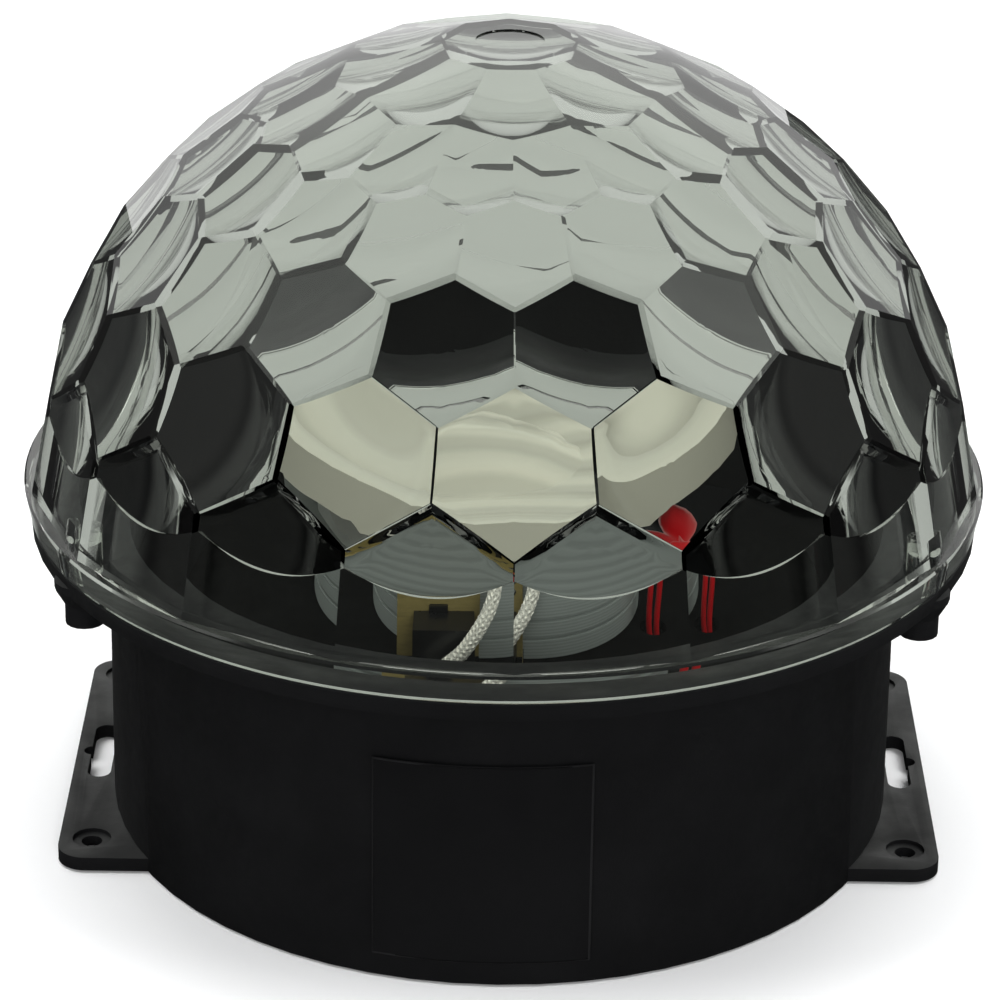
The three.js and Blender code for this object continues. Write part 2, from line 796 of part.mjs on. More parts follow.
function makeBase() {
  const wall = turned([
    [roomRadius(baseLift), baseLift], [baseFootRadius, baseLift], [baseTopRadius, collarFoot],
    [collarFootRadius, collarFoot], [flangeFootRadius, collarTop], [roomRadius(collarTop), collarTop],
  ], fineSides);
  const room = roomDisc(0, baseLift - overrun, baseLift + earThickness + overrun);
  const ears = wasm.Manifold.union([makeEar(1), makeEar(-1)]).subtract(room);
  const lugs = fourAngles(pillarAngle).map((angle) => atAngle(makeLug(), angle));
  const posts = fourAngles(postAngle).map((angle) => atAngle(makePost(), angle));
  const body = wasm.Manifold.union([wall, ears, ...lugs, ...posts, recessFrame()]);
  const lugBores = fourAngles(pillarAngle).map((angle) => atAngle(lugBore(), angle));
  const postBores = fourAngles(postAngle).map((angle) => atAngle(postBore(), angle));
  const panelBores = panelScrewPlaces.map(([x, z]) => rod(smallScrewRadius + screwPlay,
    recessFloorY - recessLedgeThickness - overrun, recessFloorY + overrun, x, z, tinySides));
  return body.subtract(wasm.Manifold.union([
    ...lugBores, ...postBores, earCuts(1), earCuts(-1), recessCut(), ...panelBores,
  ]));
}

// Places on a plan, all at one height
function atHeight(places, height) {
  return places.map(([x, y]) => [x, y, height]);
}

// The same cut or boss at several places on a plan
function atPlaces(made, places) {
  return wasm.Manifold.union(places.map(([x, y]) => made.translate([x, y, 0])));
}

const lugPlaces = fourAngles(pillarAngle).map((angle) => onCircle(pillarCircle, angle));
const postPlaces = fourAngles(postAngle).map((angle) => onCircle(postCircle, angle));
const footPlaces = fourAngles(footAngle).map((angle) => onCircle(footCircle, angle));

const domeScrewFoot = lugFoot + seatGap;

function makeDomeScrew() {
  const length = domeFoot + domeScrewBite - domeScrewFoot - domeScrewHeadHeight;
  return screw(domeScrewRadius, domeScrewHeadRadius, domeScrewHeadHeight, length);
}

function makeLabel() {
  const [low, high] = [baseLift + labelLift, baseLift + labelLift + labelHeight];
  const [back, front] = [baseWall + labelGap, baseWall + labelGap + labelThickness];
  const film = turned([
    [roomRadius(low) + back, low], [roomRadius(low) + front, low],
    [roomRadius(high) + front, high], [roomRadius(high) + back, high],
  ], fineSides * 2);
  const half = labelWidth / 2;
  const far = baseFootRadius + baseTopRadius;
  return turnedAboutZ(film.intersect(box(-half, half, -far, 0, low - overrun, high + overrun)), labelTurn);
}

// The bottom cover, its feet and its screws
const standoffX = controlBoardWidth / 2 - standoffInset;
const standoffRun = controlBoardDepth / 2 - standoffInset;
const standoffPlaces = [-1, 1].flatMap((side) => [-1, 1].map((end) => [
  side * standoffX, controlBoardY + end * standoffRun,
]));
const boardScrewPlaces = [standoffPlaces.at(0), standoffPlaces.at(-1)];
const boardFoot = coverTop + standoffHeight + seatGap;
const boardTop = boardFoot + controlBoardThickness;

function makeCover() {
  const plate = roomDisc(seatGap, coverFoot, coverTop);
  const [low, high] = [coverFoot - overrun, coverTop + overrun];
  const slot = box(ventCircle, ventCircle + ventLength, -ventWidth / 2, ventWidth / 2, low, high);
  const post = disc(standoffRadius, coverTop - coverThickness / 2, coverTop + standoffHeight, smallSides);
  const bore = disc(smallScrewRadius + screwPlay, coverTop, coverTop + standoffHeight + overrun, tinySides);
  const hole = disc(coverScrewRadius + screwPlay, low, high, tinySides);
  return plate.subtract(roundCopies(slot, ventCount))
    .add(atPlaces(post, standoffPlaces))
    .subtract(atPlaces(bore, boardScrewPlaces))
    .subtract(atPlaces(hole, postPlaces));
}

const coverScrewFoot = coverFoot - seatGap - coverScrewHeadHeight;

// A long screw through the cover and its post, into the floor's boss
function makeCoverScrew() {
  const length = deckTop + coverScrewBite - coverFoot + seatGap;
  return screw(coverScrewRadius, coverScrewHeadRadius, coverScrewHeadHeight, length);
}

function makeFoot() {
  const bevel = footRadius - footBevel;
  return turned([
    [0, 0], [bevel, 0], [footRadius, footBevel], [footRadius, coverFoot - seatGap], [0, coverFoot - seatGap],
  ], middleSides);
}

// The floor round the drum
const motorScrewPlaces = [[motorEarReach, 0], [-motorEarReach, 0]];

function boardRib(side, face) {
  const x = frontBoardX + side * (frontBoardWidth - boardRibWidth) / 2;
  const y = frontBoardY + face * (frontBoardThickness / 2 + seatGap + boardRibThickness / 2);
  const [halfWidth, halfDepth] = [boardRibWidth / 2, boardRibThickness / 2];
  return box(x - halfWidth, x + halfWidth, y - halfDepth, y + halfDepth,
    deckTop - deckThickness / 2, deckTop + boardRibHeight);
}

function makeDeck() {
  const plate = roomDisc(deckGap, deckHeight, deckTop);
  const boss = disc(postRadius, deckTop - deckThickness / 2, deckTop + deckBossHeight, smallSides);
  const ribs = [-1, 1].flatMap((side) => [boardRib(side, -1), boardRib(side, 1)]);
  const [low, high] = [deckHeight - overrun, deckTop + overrun];
  const bossBoreTop = deckTop + deckBossHeight - deckBossRoof;
  const bossBore = disc(coverScrewRadius + screwPlay, low, bossBoreTop, tinySides);
  const small = disc(smallScrewRadius + screwPlay, low, high, tinySides);
  return wasm.Manifold.union([plate, atPlaces(boss, postPlaces), ...ribs]).subtract(wasm.Manifold.union([
    disc(bushFlangeRadius + screwPlay, low, high, middleSides),
    atPlaces(disc(wireHoleRadius, low, high, smallSides), [redHole]),
    atPlaces(disc(sleeveHoleRadius, low, high, smallSides), [sleeveHole]),
    atPlaces(bossBore, postPlaces),
    atPlaces(small, motorScrewPlaces),
  ]));
}

// The lamp drum, a cup that stands upside down
function makeDrum() {
  const side = [];
  for (let i = 0; i < drumGrooves; i += 1) {
    const low = drumFoot + drumGrooveStep * (i + 1);
    side.push([drumRadius, low], [drumRadius - drumGrooveDepth, low]);
    side.push([drumRadius - drumGrooveDepth, low + drumGrooveWidth], [drumRadius, low + drumGrooveWidth]);
  }
  const inner = drumRadius - drumWall;
  const body = turned([
    [inner, drumFoot], [drumRadius, drumFoot], ...side, [drumRadius, drumTop], [shaftHoleRadius, drumTop],
    [shaftHoleRadius, drumTop - drumRoof], [inner, drumTop - drumRoof],
  ], fineSides);
  const boreTop = drumFoot + motorScrewBite + seatGap;
  const bore = disc(smallScrewRadius + screwPlay, drumFoot - overrun, boreTop, tinySides);
  return body.subtract(atPlaces(bore, motorScrewPlaces));
}

function makeLampBoard() {
  return ring(lampBoardRadius, shaftHoleRadius, lampBoardFoot, lampBoardTop, fineSides);
}

const lampAngles = Array.from({ length: lampCount }, (_, i) => lampTurn + (i * 360) / lampCount);
const lampPlaces = lampAngles.map((angle) => onCircle(lampCircle, angle));

// A low dome's outline from its rim up to its top
function domeOutline(radius, rise, foot, steps) {
  const round = (radius ** 2 + rise ** 2) / (2 * rise);
  const spread = Math.asin(radius / round);
  return Array.from({ length: steps + 1 }, (_, i) => {
    const angle = spread * (1 - i / steps);
    return [round * Math.sin(angle), foot + rise - round * (1 - Math.cos(angle))];
  });
}

function makeLamp() {
  return turned([
    [0, 0], [lampBaseRadius, 0], [lampBaseRadius, lampBaseHeight],
    ...domeOutline(lampDomeRadius, lampDomeRise, lampBaseHeight, capSteps),
  ], smallSides);
}

// The lens wheel and its hub
const hubFoot = wheelFoot - seatGap - hubFlange;
const hubTop = wheelTop + seatGap;
const shaftTop = wheelTop - hubScrewWeb;

function makeWheel() {
  const plate = ring(wheelRadius, hubCollarRadius + seatGap, wheelFoot, wheelTop, fineSides);
  const middle = wheelTop - wheelThickness / 2;
  const rim = ring(wheelRadius, wheelRadius - wheelRimWidth, middle, wheelTop + wheelRimHeight, fineSides);
  const outline = domeOutline(wheelLensRadius, wheelLensRise, wheelTop, capSteps);
  const lens = turned([[0, middle], [wheelLensRadius, middle], ...outline], smallSides);
  const lenses = roundCopies(lens.translate([wheelLensCircle, 0, 0]), wheelLensCount);
  return wasm.Manifold.union([plate, rim, lenses]);
}

function makeHub() {
  const bore = outputShaftRadius + seatGap;
  return turned([
    [bore, hubFoot - hubCollarDepth], [hubCollarRadius, hubFoot - hubCollarDepth], [hubCollarRadius, hubFoot],
    [hubRadius, hubFoot], [hubRadius, wheelFoot - seatGap], [hubCollarRadius, wheelFoot - seatGap],
    [hubCollarRadius, hubTop], [smallScrewRadius + screwPlay, hubTop],
    [smallScrewRadius + screwPlay, shaftTop + seatGap], [bore, shaftTop + seatGap],
  ], middleSides);
}

// The wide-headed screw that holds the wheel on the shaft
function makeHubScrew() {
  const made = screw(smallScrewRadius, hubRadius, smallScrewHeadHeight, hubScrewLength, smallSides);
  return made.mirror([0, 0, 1]).translate([0, 0, hubTop + seatGap + smallScrewHeadHeight]);
}

// Gears: each tooth runs through three radii and is narrower at its tip than at its root
const pitchRadius = (teeth) => (gearModule * teeth) / 2;
const gearDistance = pitchRadius(pinionTeeth) + pitchRadius(wheelTeeth) + gearCentreSlack;
const rootRadius = (teeth) => pitchRadius(teeth) - gearModule * rootShare;

function gear(teeth, foot, top, toothTurnShare = 0) {
  const step = (2 * Math.PI) / teeth;
  const flank = [
    [rootRadius(teeth), toothRootShare],
    [pitchRadius(teeth) + gearModule, toothTipShare],
  ];
  const outline = [];
  for (let i = 0; i < teeth; i += 1) {
    const middle = (i + toothTurnShare) * step;
    const rise = flank.map(([radius, share]) => [radius, middle - (share * step) / 2]);
    const fall = flank.map(([radius, share]) => [radius, middle + (share * step) / 2]).reverse();
    outline.push(...rise, ...fall);
  }
  const points = outline.map(([radius, angle]) => [radius * Math.cos(angle), radius * Math.sin(angle)]);
  return raised(shapeOf(points), foot, top);
}

// The geared motor that turns the wheel
const motorFloor = motorFoot + motorWall;
const magnetFoot = motorFloor + gearLayerGap;
const magnetTop = magnetFoot + magnetHeight;
const firstLayer = magnetTop + gearLayerLift;
const secondLayer = firstLayer + gearThickness + gearLayerGap;
const secondLayerTop = secondLayer + gearThickness;

function makeMotorCan() {
  const inner = motorRadius - motorWall;
  return turned([
    [0, motorFoot], [motorRadius, motorFoot], [motorRadius, motorCanTop], [inner, motorCanTop],
    [inner, motorFloor], [0, motorFloor],
  ], fineSides);
}

function makeMotorLid() {
  const plate = disc(motorRadius, motorLidFoot, motorLidTop, fineSides);
  const ear = disc(motorEarRadius, motorLidFoot, motorLidTop, smallSides).translate([motorEarReach, 0, 0]);
  const neck = box(0, motorEarReach, -motorEarRadius, motorEarRadius, motorLidFoot, motorLidTop);
  const [low, high] = [motorLidFoot - overrun, motorLidTop + overrun];
  const hole = disc(smallScrewRadius + screwPlay, low, high, tinySides);
  return plate.add(roundCopies(ear.add(neck), 2))
    .subtract(disc(bushRadius + seatGap, low, high, middleSides))
    .subtract(atPlaces(hole, motorScrewPlaces));
}

const motorScrewFoot = motorLidFoot - seatGap - smallScrewHeadHeight;

// A screw through the motor's ear and the floor, into the drum
function makeMotorScrew() {
  const length = drumFoot + motorScrewBite - motorLidFoot + seatGap;
  return screw(smallScrewRadius, smallScrewHeadRadius, smallScrewHeadHeight, length);
}

function makeBush() {
  const flangeFoot = motorLidTop + seatGap;
  const bore = outputShaftRadius + seatGap;
  const foot = flangeFoot + bushFlange - bushLength;
  return turned([
    [bore, foot], [bushRadius, foot], [bushRadius, flangeFoot], [bushFlangeRadius, flangeFoot],
    [bushFlangeRadius, flangeFoot + bushFlange], [bore, flangeFoot + bushFlange],
  ], middleSides);
}

function makeCoil() {
  const foot = motorFloor + seatGap;
  return ring(coilOuterRadius, coilInnerRadius, foot, foot + coilHeight, middleSides);
}

function makeRotor() {
  const magnet = disc(magnetRadius, magnetFoot, magnetTop, middleSides);
  const neckTop = firstLayer + gearThickness / 2;
  const neck = disc(rootRadius(pinionTeeth), magnetTop - overrun, neckTop, smallSides);
  const pinion = gear(pinionTeeth, firstLayer, firstLayer + gearThickness);
  const bore = disc(gearPinRadius + gearPinPlay, magnetFoot - overrun, secondLayer, smallSides);
  return wasm.Manifold.union([magnet, neck, pinion]).subtract(bore);
}

function makeRotorPin() {
  return disc(gearPinRadius, motorFloor + gearPinPlay, secondLayer - gearPinPlay, smallSides);
}

function makeIdler() {
  const large = gear(wheelTeeth, firstLayer, firstLayer + gearThickness, 1 / 2);
  const small = gear(pinionTeeth, firstLayer + gearThickness / 2, secondLayerTop);
  const bore = disc(gearPinRadius + gearPinPlay, firstLayer - overrun, secondLayerTop + overrun, smallSides);
  return large.add(small).subtract(bore).translate([-gearDistance, 0, 0]);
}

function makeIdlerPin() {
  const headTop = firstLayer - seatGap;
  const top = motorLidFoot - seatGap;
  return turned([
    [0, headTop - idlerPinHead], [idlerPinHeadRadius, headTop - idlerPinHead], [idlerPinHeadRadius, headTop],
    [gearPinRadius, headTop], [gearPinRadius, top], [0, top],
  ], smallSides).translate([-gearDistance, 0, 0]);
}

function makeOutputShaft() {
  const wheel = gear(wheelTeeth, secondLayer, secondLayerTop, 1 / 2);
  const shaft = disc(outputShaftRadius, secondLayerTop - gearThickness / 2, shaftTop, middleSides);
  const hole = disc(smallScrewRadius + screwPlay, shaftTop - hubScrewLength, shaftTop + overrun, tinySides);
  return wheel.add(shaft).subtract(hole);
}

// The board that stands in front of the drum
const frontBoardFoot = deckTop + seatGap;
const frontBoardFace = frontBoardY - frontBoardThickness / 2;

function makeFrontBoard() {
  const half = frontBoardWidth / 2;
  return box(frontBoardX - half, frontBoardX + half, frontBoardFace, frontBoardFace + frontBoardThickness,
    frontBoardFoot, frontBoardFoot + frontBoardHeight);
}

function makeBlackBlock() {
  const half = blackBlockWidth / 2;
  const back = frontBoardFace - seatGap;
  const foot = frontBoardFoot + boardRibHeight + blackBlockLift;
  return box(blackBlockX - half, blackBlockX + half, back - blackBlockDepth, back,
    foot, foot + blackBlockHeight);
}

// A round lead along a route of points
function lead(route, radius) {
  const curve = new THREE.CatmullRomCurve3(route.map((place) => new THREE.Vector3(...place)));
  const section = new THREE.Shape().absarc(0, 0, radius, 0, Math.PI * 2);
  const options = {
    steps: wireSteps, curveSegments: wireSides / 2, extrudePath: curve, bevelEnabled: false,
  };
  return solid(new THREE.ExtrudeGeometry(section, options));
}

// The control board and what stands on it
function onBoard([width, depth, height], [x, y], lift = seatGap) {
  const foot = boardTop + lift;
  return box(x - width / 2, x + width / 2, y - depth / 2, y + depth / 2, foot, foot + height);
}

function makeControlBoard() {
  const [half, depth] = [controlBoardWidth / 2, controlBoardDepth / 2];
  const plate = box(-half, half, controlBoardY - depth, controlBoardY + depth, boardFoot, boardTop);
  const hole = disc(smallScrewRadius + screwPlay, boardFoot - overrun, boardTop + overrun, tinySides);
  return plate.subtract(atPlaces(hole, boardScrewPlaces));
}

const boardScrewTop = boardTop + seatGap + smallScrewHeadHeight;

function makeBoardScrew() {
  return screw(smallScrewRadius, smallScrewHeadRadius, smallScrewHeadHeight, boardScrewLength)
    .mirror([0, 0, 1]);
}

// The transformer's core between the two cheeks of its bobbin
function makeTransformer() {
  const [width, depth, height] = transformerSize;
  const cheek = [width - bobbinFlangeExtra * 2, depth + bobbinFlangeExtra * 2, bobbinFlange];
  const low = onBoard(cheek, transformerPlace);
  const high = onBoard(cheek, transformerPlace, seatGap + height - bobbinFlange);
  return wasm.Manifold.union([onBoard(transformerSize, transformerPlace), low, high]);
}

function makeCapacitor() {
  const foot = boardTop + seatGap;
  return atPlaces(disc(capacitorRadius, foot, foot + capacitorHeight, middleSides), [capacitorPlace]);
}

// The rear panel
const panelScrewPlaces = [[-panelScrewX, panelScrewZ], [panelScrewX, panelScrewZ]];

// A block in or behind the panel, from one depth to another
function panelBlock([x, z], halfWidth, halfHeight, y0, y1) {
  return box(x - halfWidth, x + halfWidth, y0, y1, z - halfHeight, z + halfHeight);
}

const inletPlace = [inletX, inletZ];
const switchPlace = [switchX, switchZ];

function makePanel() {
  const half = recessHalfWidth - panelPlay;
  const plate = box(-half, half, panelBack, panelFront, recessLow + panelPlay, recessHigh - panelPlay);
  const [back, front] = [panelBack - overrun, panelFront + overrun];
  const holes = [
    panelBlock(inletPlace, inletWidth / 2 + seatGap, inletHeight / 2 + seatGap, back, front),
    panelBlock(switchPlace, switchWidth / 2 + seatGap, switchHeight / 2 + seatGap, back, front),
    rod(buttonSleeveRadius + seatGap, back, front, buttonX, controlRowZ, middleSides),
    rod(potBushRadius + seatGap, back, front, knobX, controlRowZ, middleSides),
    rod(microphoneHoleRadius, back, front, microphoneX, controlRowZ, smallSides),
    ...panelScrewPlaces.map(([x, z]) => rod(smallScrewRadius + screwPlay, back, front, x, z, tinySides)),
  ];
  return plate.subtract(wasm.Manifold.union(holes));
}

const panelScrewHeadY = panelFront + seatGap + smallScrewHeadHeight;

function makePanelScrew() {
  return screw(smallScrewRadius, smallScrewHeadRadius, smallScrewHeadHeight, panelScrewLength)
    .rotate([90, 0, 0]);
}

// The mains inlet: a flanged body with an oval socket and two pins
const inletFront = panelFront + seatGap + inletFlange;
const socketFloor = inletFront - socketDepth;

function makeInlet() {
  const [halfWidth, halfHeight] = [inletWidth / 2, inletHeight / 2];
  const flange = panelBlock(inletPlace, halfWidth + inletFlangeExtra, halfHeight + inletFlangeExtra,
    panelFront + seatGap, inletFront);
  const body = panelBlock(inletPlace, halfWidth, halfHeight,
    inletFront - inletDepth, inletFront - inletFlange / 2);
  const outline = new THREE.Shape();
  outline.absarc(socketReach, 0, socketRadius, -Math.PI / 2, Math.PI / 2);
  outline.absarc(-socketReach, 0, socketRadius, Math.PI / 2, Math.PI * 1.5);
  const socket = raised(outline, -overrun, socketDepth).rotate([90, 0, 0])
    .translate([inletX, inletFront, inletZ]);
  return flange.add(body).subtract(socket);
}

function makeInletPin() {
  return rod(inletPinRadius, 0, inletPinLength, 0, 0, smallSides);
}

const inletPinFoot = socketFloor + seatGap;
const inletPinPlaces = [-1, 1].map((side) => [inletX + side * inletPinReach, inletPinFoot, inletZ]);

// The rocker switch
const switchFront = panelFront + seatGap + switchBezel;
const pitHalfWidth = rockerWidth / 2 + rockerPlay;
const pitHalfHeight = rockerHalfHeight + rockerPlay + rockerSwing;
const rockerAxisY = switchFront - rockerAxisDepth;

function makeSwitchBody() {
  const [halfWidth, halfHeight] = [switchWidth / 2, switchHeight / 2];
  const bezel = panelBlock(switchPlace, halfWidth + switchBezelExtra, halfHeight + switchBezelExtra,
    panelFront + seatGap, switchFront);
  const body = panelBlock(switchPlace, halfWidth, halfHeight,
    switchFront - switchDepth, switchFront - switchBezel / 2);
  const pit = panelBlock(switchPlace, pitHalfWidth, pitHalfHeight,
    switchFront - rockerPitDepth, switchFront + overrun);
  const pinHoles = rockerPins(rockerPinRadius + rockerPinPlay, pitHalfWidth + rockerPinReach);
  return bezel.add(body).subtract(pit).subtract(pinHoles);
}

// The two pins that the rocker turns on, as one bar
function rockerPins(radius, reach) {
  const geometry = new THREE.CylinderGeometry(radius, radius, reach * 2, smallSides).rotateZ(Math.PI / 2);
  return solid(geometry.translate(switchX, rockerAxisY, switchZ));
}

// The rocker lies tilted with its upper end out, as it does when it is off
function makeRocker() {
  const outline = shapeOf([
    [-rockerFootHalfHeight, -rockerDepth], [rockerFootHalfHeight, -rockerDepth],
    [rockerHalfHeight, rockerTipRise], [0, rockerMiddleRise], [-rockerHalfHeight, rockerTipRise],
  ]);
  const upright = raised(outline, -rockerWidth / 2, rockerWidth / 2).rotate([0, -90, 0]);
  const tilted = upright.rotate([-rockerTilt, 0, 0]).translate([switchX, rockerAxisY, switchZ]);
  return tilted.add(rockerPins(rockerPinRadius, rockerWidth / 2 + rockerPinReach));
}

// The mode button: a body with a sleeve, and a plunger that a collar keeps in it
const buttonSleeveFront = panelFront + buttonSleeveRise;
const buttonFront = buttonSleeveFront + buttonRise;
const buttonBack = buttonFront - buttonLength;

function buttonRod(radius, y0, y1) {
  return rod(radius, y0, y1, buttonX, controlRowZ, middleSides);
}

function makeButtonBody() {
  const half = buttonBoxSize / 2;
  const front = panelBack - seatGap;
  const body = panelBlock([buttonX, controlRowZ], half, half, front - buttonBoxDepth, front);
  const sleeve = buttonRod(buttonSleeveRadius, front - overrun, buttonSleeveFront);
  const floor = buttonBack - buttonTravel - buttonPlay;
  const roomFront = buttonBack + buttonCollarLength + buttonPlay;
  const room = buttonRod(buttonCollarRadius + buttonPlay, floor, roomFront);
  const bore = buttonRod(buttonRadius + buttonPlay, floor, buttonSleeveFront + overrun);
  return body.add(sleeve).subtract(room.add(bore));
}

function makeButton() {
  const plunger = buttonRod(buttonRadius, buttonBack, buttonFront);
  return plunger.add(buttonRod(buttonCollarRadius, buttonBack, buttonBack + buttonCollarLength));
}

// The sensitivity knob, whose shaft turns in the potentiometer
const knobFoot = panelFront + knobLift;
const knobFront = knobFoot + knobHeight;
const potFront = panelBack - seatGap;

function makeKnob() {
  const body = rod(knobRadius, knobFoot, knobFront, knobX, controlRowZ, middleSides);
  const shaftBack = potFront - knobShaftDepth;
  const shaft = rod(knobShaftRadius, shaftBack, knobFoot + overrun, knobX, controlRowZ, middleSides);
  const flute = rod(knobFluteRadius, knobFoot - overrun, knobFront + overrun, 0, 0, tinySides);
  const flutes = Array.from({ length: knobFlutes }, (_, i) => {
    const angle = ((i + 1 / 2) * 2 * Math.PI) / knobFlutes;
    const [across, up] = [knobRadius * Math.sin(angle), knobRadius * Math.cos(angle)];
    return flute.translate([knobX + across, 0, controlRowZ + up]);
  });
  const half = knobPointerWidth / 2;
  const pointer = box(knobX - half, knobX + half, knobFront - knobPointerDepth,
    knobFront + overrun, controlRowZ, controlRowZ + knobRadius + overrun);
  return body.add(shaft).subtract(wasm.Manifold.union([...flutes, pointer]));
}

function makePotentiometer() {
  const half = potBodySize / 2;
  const body = panelBlock([knobX, controlRowZ], half, half, potFront - potBodyDepth, potFront);
  const bushFront = panelFront + potBushRise;
  const bush = rod(potBushRadius, potFront - overrun, bushFront, knobX, controlRowZ, middleSides);
  const boreBack = potFront - knobShaftDepth - seatGap;
  const bore = rod(knobShaftRadius + seatGap, boreBack, knobFoot, knobX, controlRowZ, middleSides);
  return body.add(bush).subtract(bore);
}

// The microphone, behind its hole in the panel
function makeMicrophone() {
  const front = panelBack - seatGap;
  return rod(microphoneRadius, front - microphoneDepth, front, microphoneX, controlRowZ, middleSides);
}

// The assembly
const housingGroup = new THREE.Group();
const lampGroup = new THREE.Group();
const motorGroup = new THREE.Group();
const controlGroup = new THREE.Group();
part.add(housingGroup, lampGroup, motorGroup, controlGroup);

addPiece('faceted_dome', makeDome(), looks.clear, housingGroup);
addPiece('base_housing', makeBase(), looks.blackPlastic, housingGroup);
addPiece('label_plate', makeLabel(), looks.sticker, housingGroup);
addPiece('bottom_cover', makeCover(), looks.blackPlastic, housingGroup);
addPiece('inner_floor', makeDeck(), looks.blackPlastic, housingGroup);
addCopies('dome_screw', makeDomeScrew(), atHeight(lugPlaces, domeScrewFoot), looks.steel, housingGroup);
addCopies('cover_screw', makeCoverScrew(), atHeight(postPlaces, coverScrewFoot), looks.steel, housingGroup);
addCopies('rubber_foot', makeFoot(), atHeight(footPlaces, 0), looks.rubber, housingGroup);

addPiece('lamp_drum', makeDrum(), looks.aluminium, lampGroup);
addPiece('lamp_board', makeLampBoard(), looks.whiteBoard, lampGroup);
addCopies('lamp', makeLamp(), atHeight(lampPlaces, lampBoardTop + seatGap), looks.clear, lampGroup);
addPiece('lens_wheel', makeWheel(), looks.clear, lampGroup);
addPiece('wheel_hub', makeHub(), looks.whitePlastic, lampGroup);
addPiece('hub_screw', makeHubScrew(), looks.steel, lampGroup);
addPiece('driver_board', makeFrontBoard(), looks.brownBoard, lampGroup);
addPiece('driver_choke', makeBlackBlock(), looks.blackPlastic, lampGroup);
addPiece('red_wire_1', lead(redWireRoutes[0], redWireRadius), looks.redWire, lampGroup);
addPiece('red_wire_2', lead(redWireRoutes[1], redWireRadius), looks.redWire, lampGroup);
addPiece('white_sleeve', lead(sleeveRoute, sleeveRadius), looks.whiteSleeve, lampGroup);

addPiece('motor_can', makeMotorCan(), looks.steel, motorGroup);
addPiece('motor_lid', makeMotorLid(), looks.steel, motorGroup);
addCopies('motor_screw', makeMotorScrew(), atHeight(motorScrewPlaces, motorScrewFoot),
  looks.steel, motorGroup);
addPiece('motor_coil', makeCoil(), looks.copper, motorGroup);
addPiece('shaft_bush', makeBush(), looks.brass, motorGroup);
addPiece('motor_rotor', makeRotor(), looks.magnet, motorGroup);
addPiece('rotor_pin', makeRotorPin(), looks.steel, motorGroup);
addPiece('idler_gear', makeIdler(), looks.whitePlastic, motorGroup);
addPiece('idler_pin', makeIdlerPin(), looks.steel, motorGroup);
addPiece('output_shaft', makeOutputShaft(), looks.brass, motorGroup);

addPiece('control_board', makeControlBoard(), looks.greenBoard, controlGroup);
addCopies('board_screw', makeBoardScrew(), atHeight(boardScrewPlaces, boardScrewTop),
  looks.steel, controlGroup);
addPiece('power_transformer', makeTransformer(), looks.yellowTape, controlGroup);
addPiece('filter_capacitor', makeCapacitor(), looks.bluePlastic, controlGroup);
addPiece('terminal_block', onBoard(terminalSize, terminalPlace), looks.bluePlastic, controlGroup);
addPiece('rear_panel', makePanel(), looks.blackPlastic, controlGroup);
addCopies('panel_screw', makePanelScrew(), panelScrewPlaces.map(([x, z]) => [x, panelScrewHeadY, z]),
  looks.steel, controlGroup);
addPiece('mains_inlet', makeInlet(), looks.blackPlastic, controlGroup);
addCopies('inlet_pin', makeInletPin(), inletPinPlaces, looks.brass, controlGroup);
addPiece('switch_body', makeSwitchBody(), looks.blackPlastic, controlGroup);
addPiece('power_rocker', makeRocker(), looks.blackPlastic, controlGroup);
addPiece('button_body', makeButtonBody(), looks.blackPlastic, controlGroup);
addPiece('mode_button', makeButton(), looks.blackPlastic, controlGroup);
addPiece('sensitivity_knob', makeKnob(), looks.blackPlastic, controlGroup);
addPiece('potentiometer', makePotentiometer(), looks.aluminium, controlGroup);
addPiece('microphone', makeMicrophone(), looks.aluminium, controlGroup);

export default part;
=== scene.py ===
"""Looks of the magic ball light: a faceted clear dome on a black base, over a lamp drum.

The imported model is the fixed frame. The classes below dress its sub-assemblies: the dome gets
its lens facets in full detail, the leads are swept anew, and every other piece keeps its own
shape under a procedural finish, with softened edges where edge_mm sets them. The part's sizes
are in millimetres and degrees, the studio's in metres.
"""

import sys
import json
import logging
import math
from collections.abc import Iterator, Sequence
from contextlib import contextmanager
from dataclasses import dataclass, field
from enum import Enum

import bmesh
import bpy
from mathutils import Matrix, Vector


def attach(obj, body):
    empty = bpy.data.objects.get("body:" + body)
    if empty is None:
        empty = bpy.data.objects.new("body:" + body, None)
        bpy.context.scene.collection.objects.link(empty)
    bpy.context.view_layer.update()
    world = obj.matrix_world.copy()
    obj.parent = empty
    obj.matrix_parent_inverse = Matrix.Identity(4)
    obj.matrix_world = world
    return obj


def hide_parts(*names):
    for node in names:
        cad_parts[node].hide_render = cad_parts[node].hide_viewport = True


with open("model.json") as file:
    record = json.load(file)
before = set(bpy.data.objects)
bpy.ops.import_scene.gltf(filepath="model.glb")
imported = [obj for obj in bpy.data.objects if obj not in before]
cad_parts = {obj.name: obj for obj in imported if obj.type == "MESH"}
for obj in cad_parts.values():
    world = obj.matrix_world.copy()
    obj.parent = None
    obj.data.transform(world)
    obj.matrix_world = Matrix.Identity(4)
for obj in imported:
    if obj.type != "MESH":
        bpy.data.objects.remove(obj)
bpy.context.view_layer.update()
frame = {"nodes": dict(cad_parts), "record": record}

MM = 0.001
# In millimetres: nearer than this, a corner lies on the Z axis, or on the plane that cuts it
ON_AXIS, ON_PLANE = 1e-6, 1e-4
# The wave texture's scale at which half a wave is a metre long
HALF_WAVE = 0.5 * math.pi / 10
# Nearly all of a noise lies between these
NOISE_SPAN = (0.3, 0.7)
LOG = logging.getLogger("magic_ball_light")
Tree = bpy.types.NodeTree
Socket = bpy.types.NodeSocket
Form = bmesh.types.BMesh


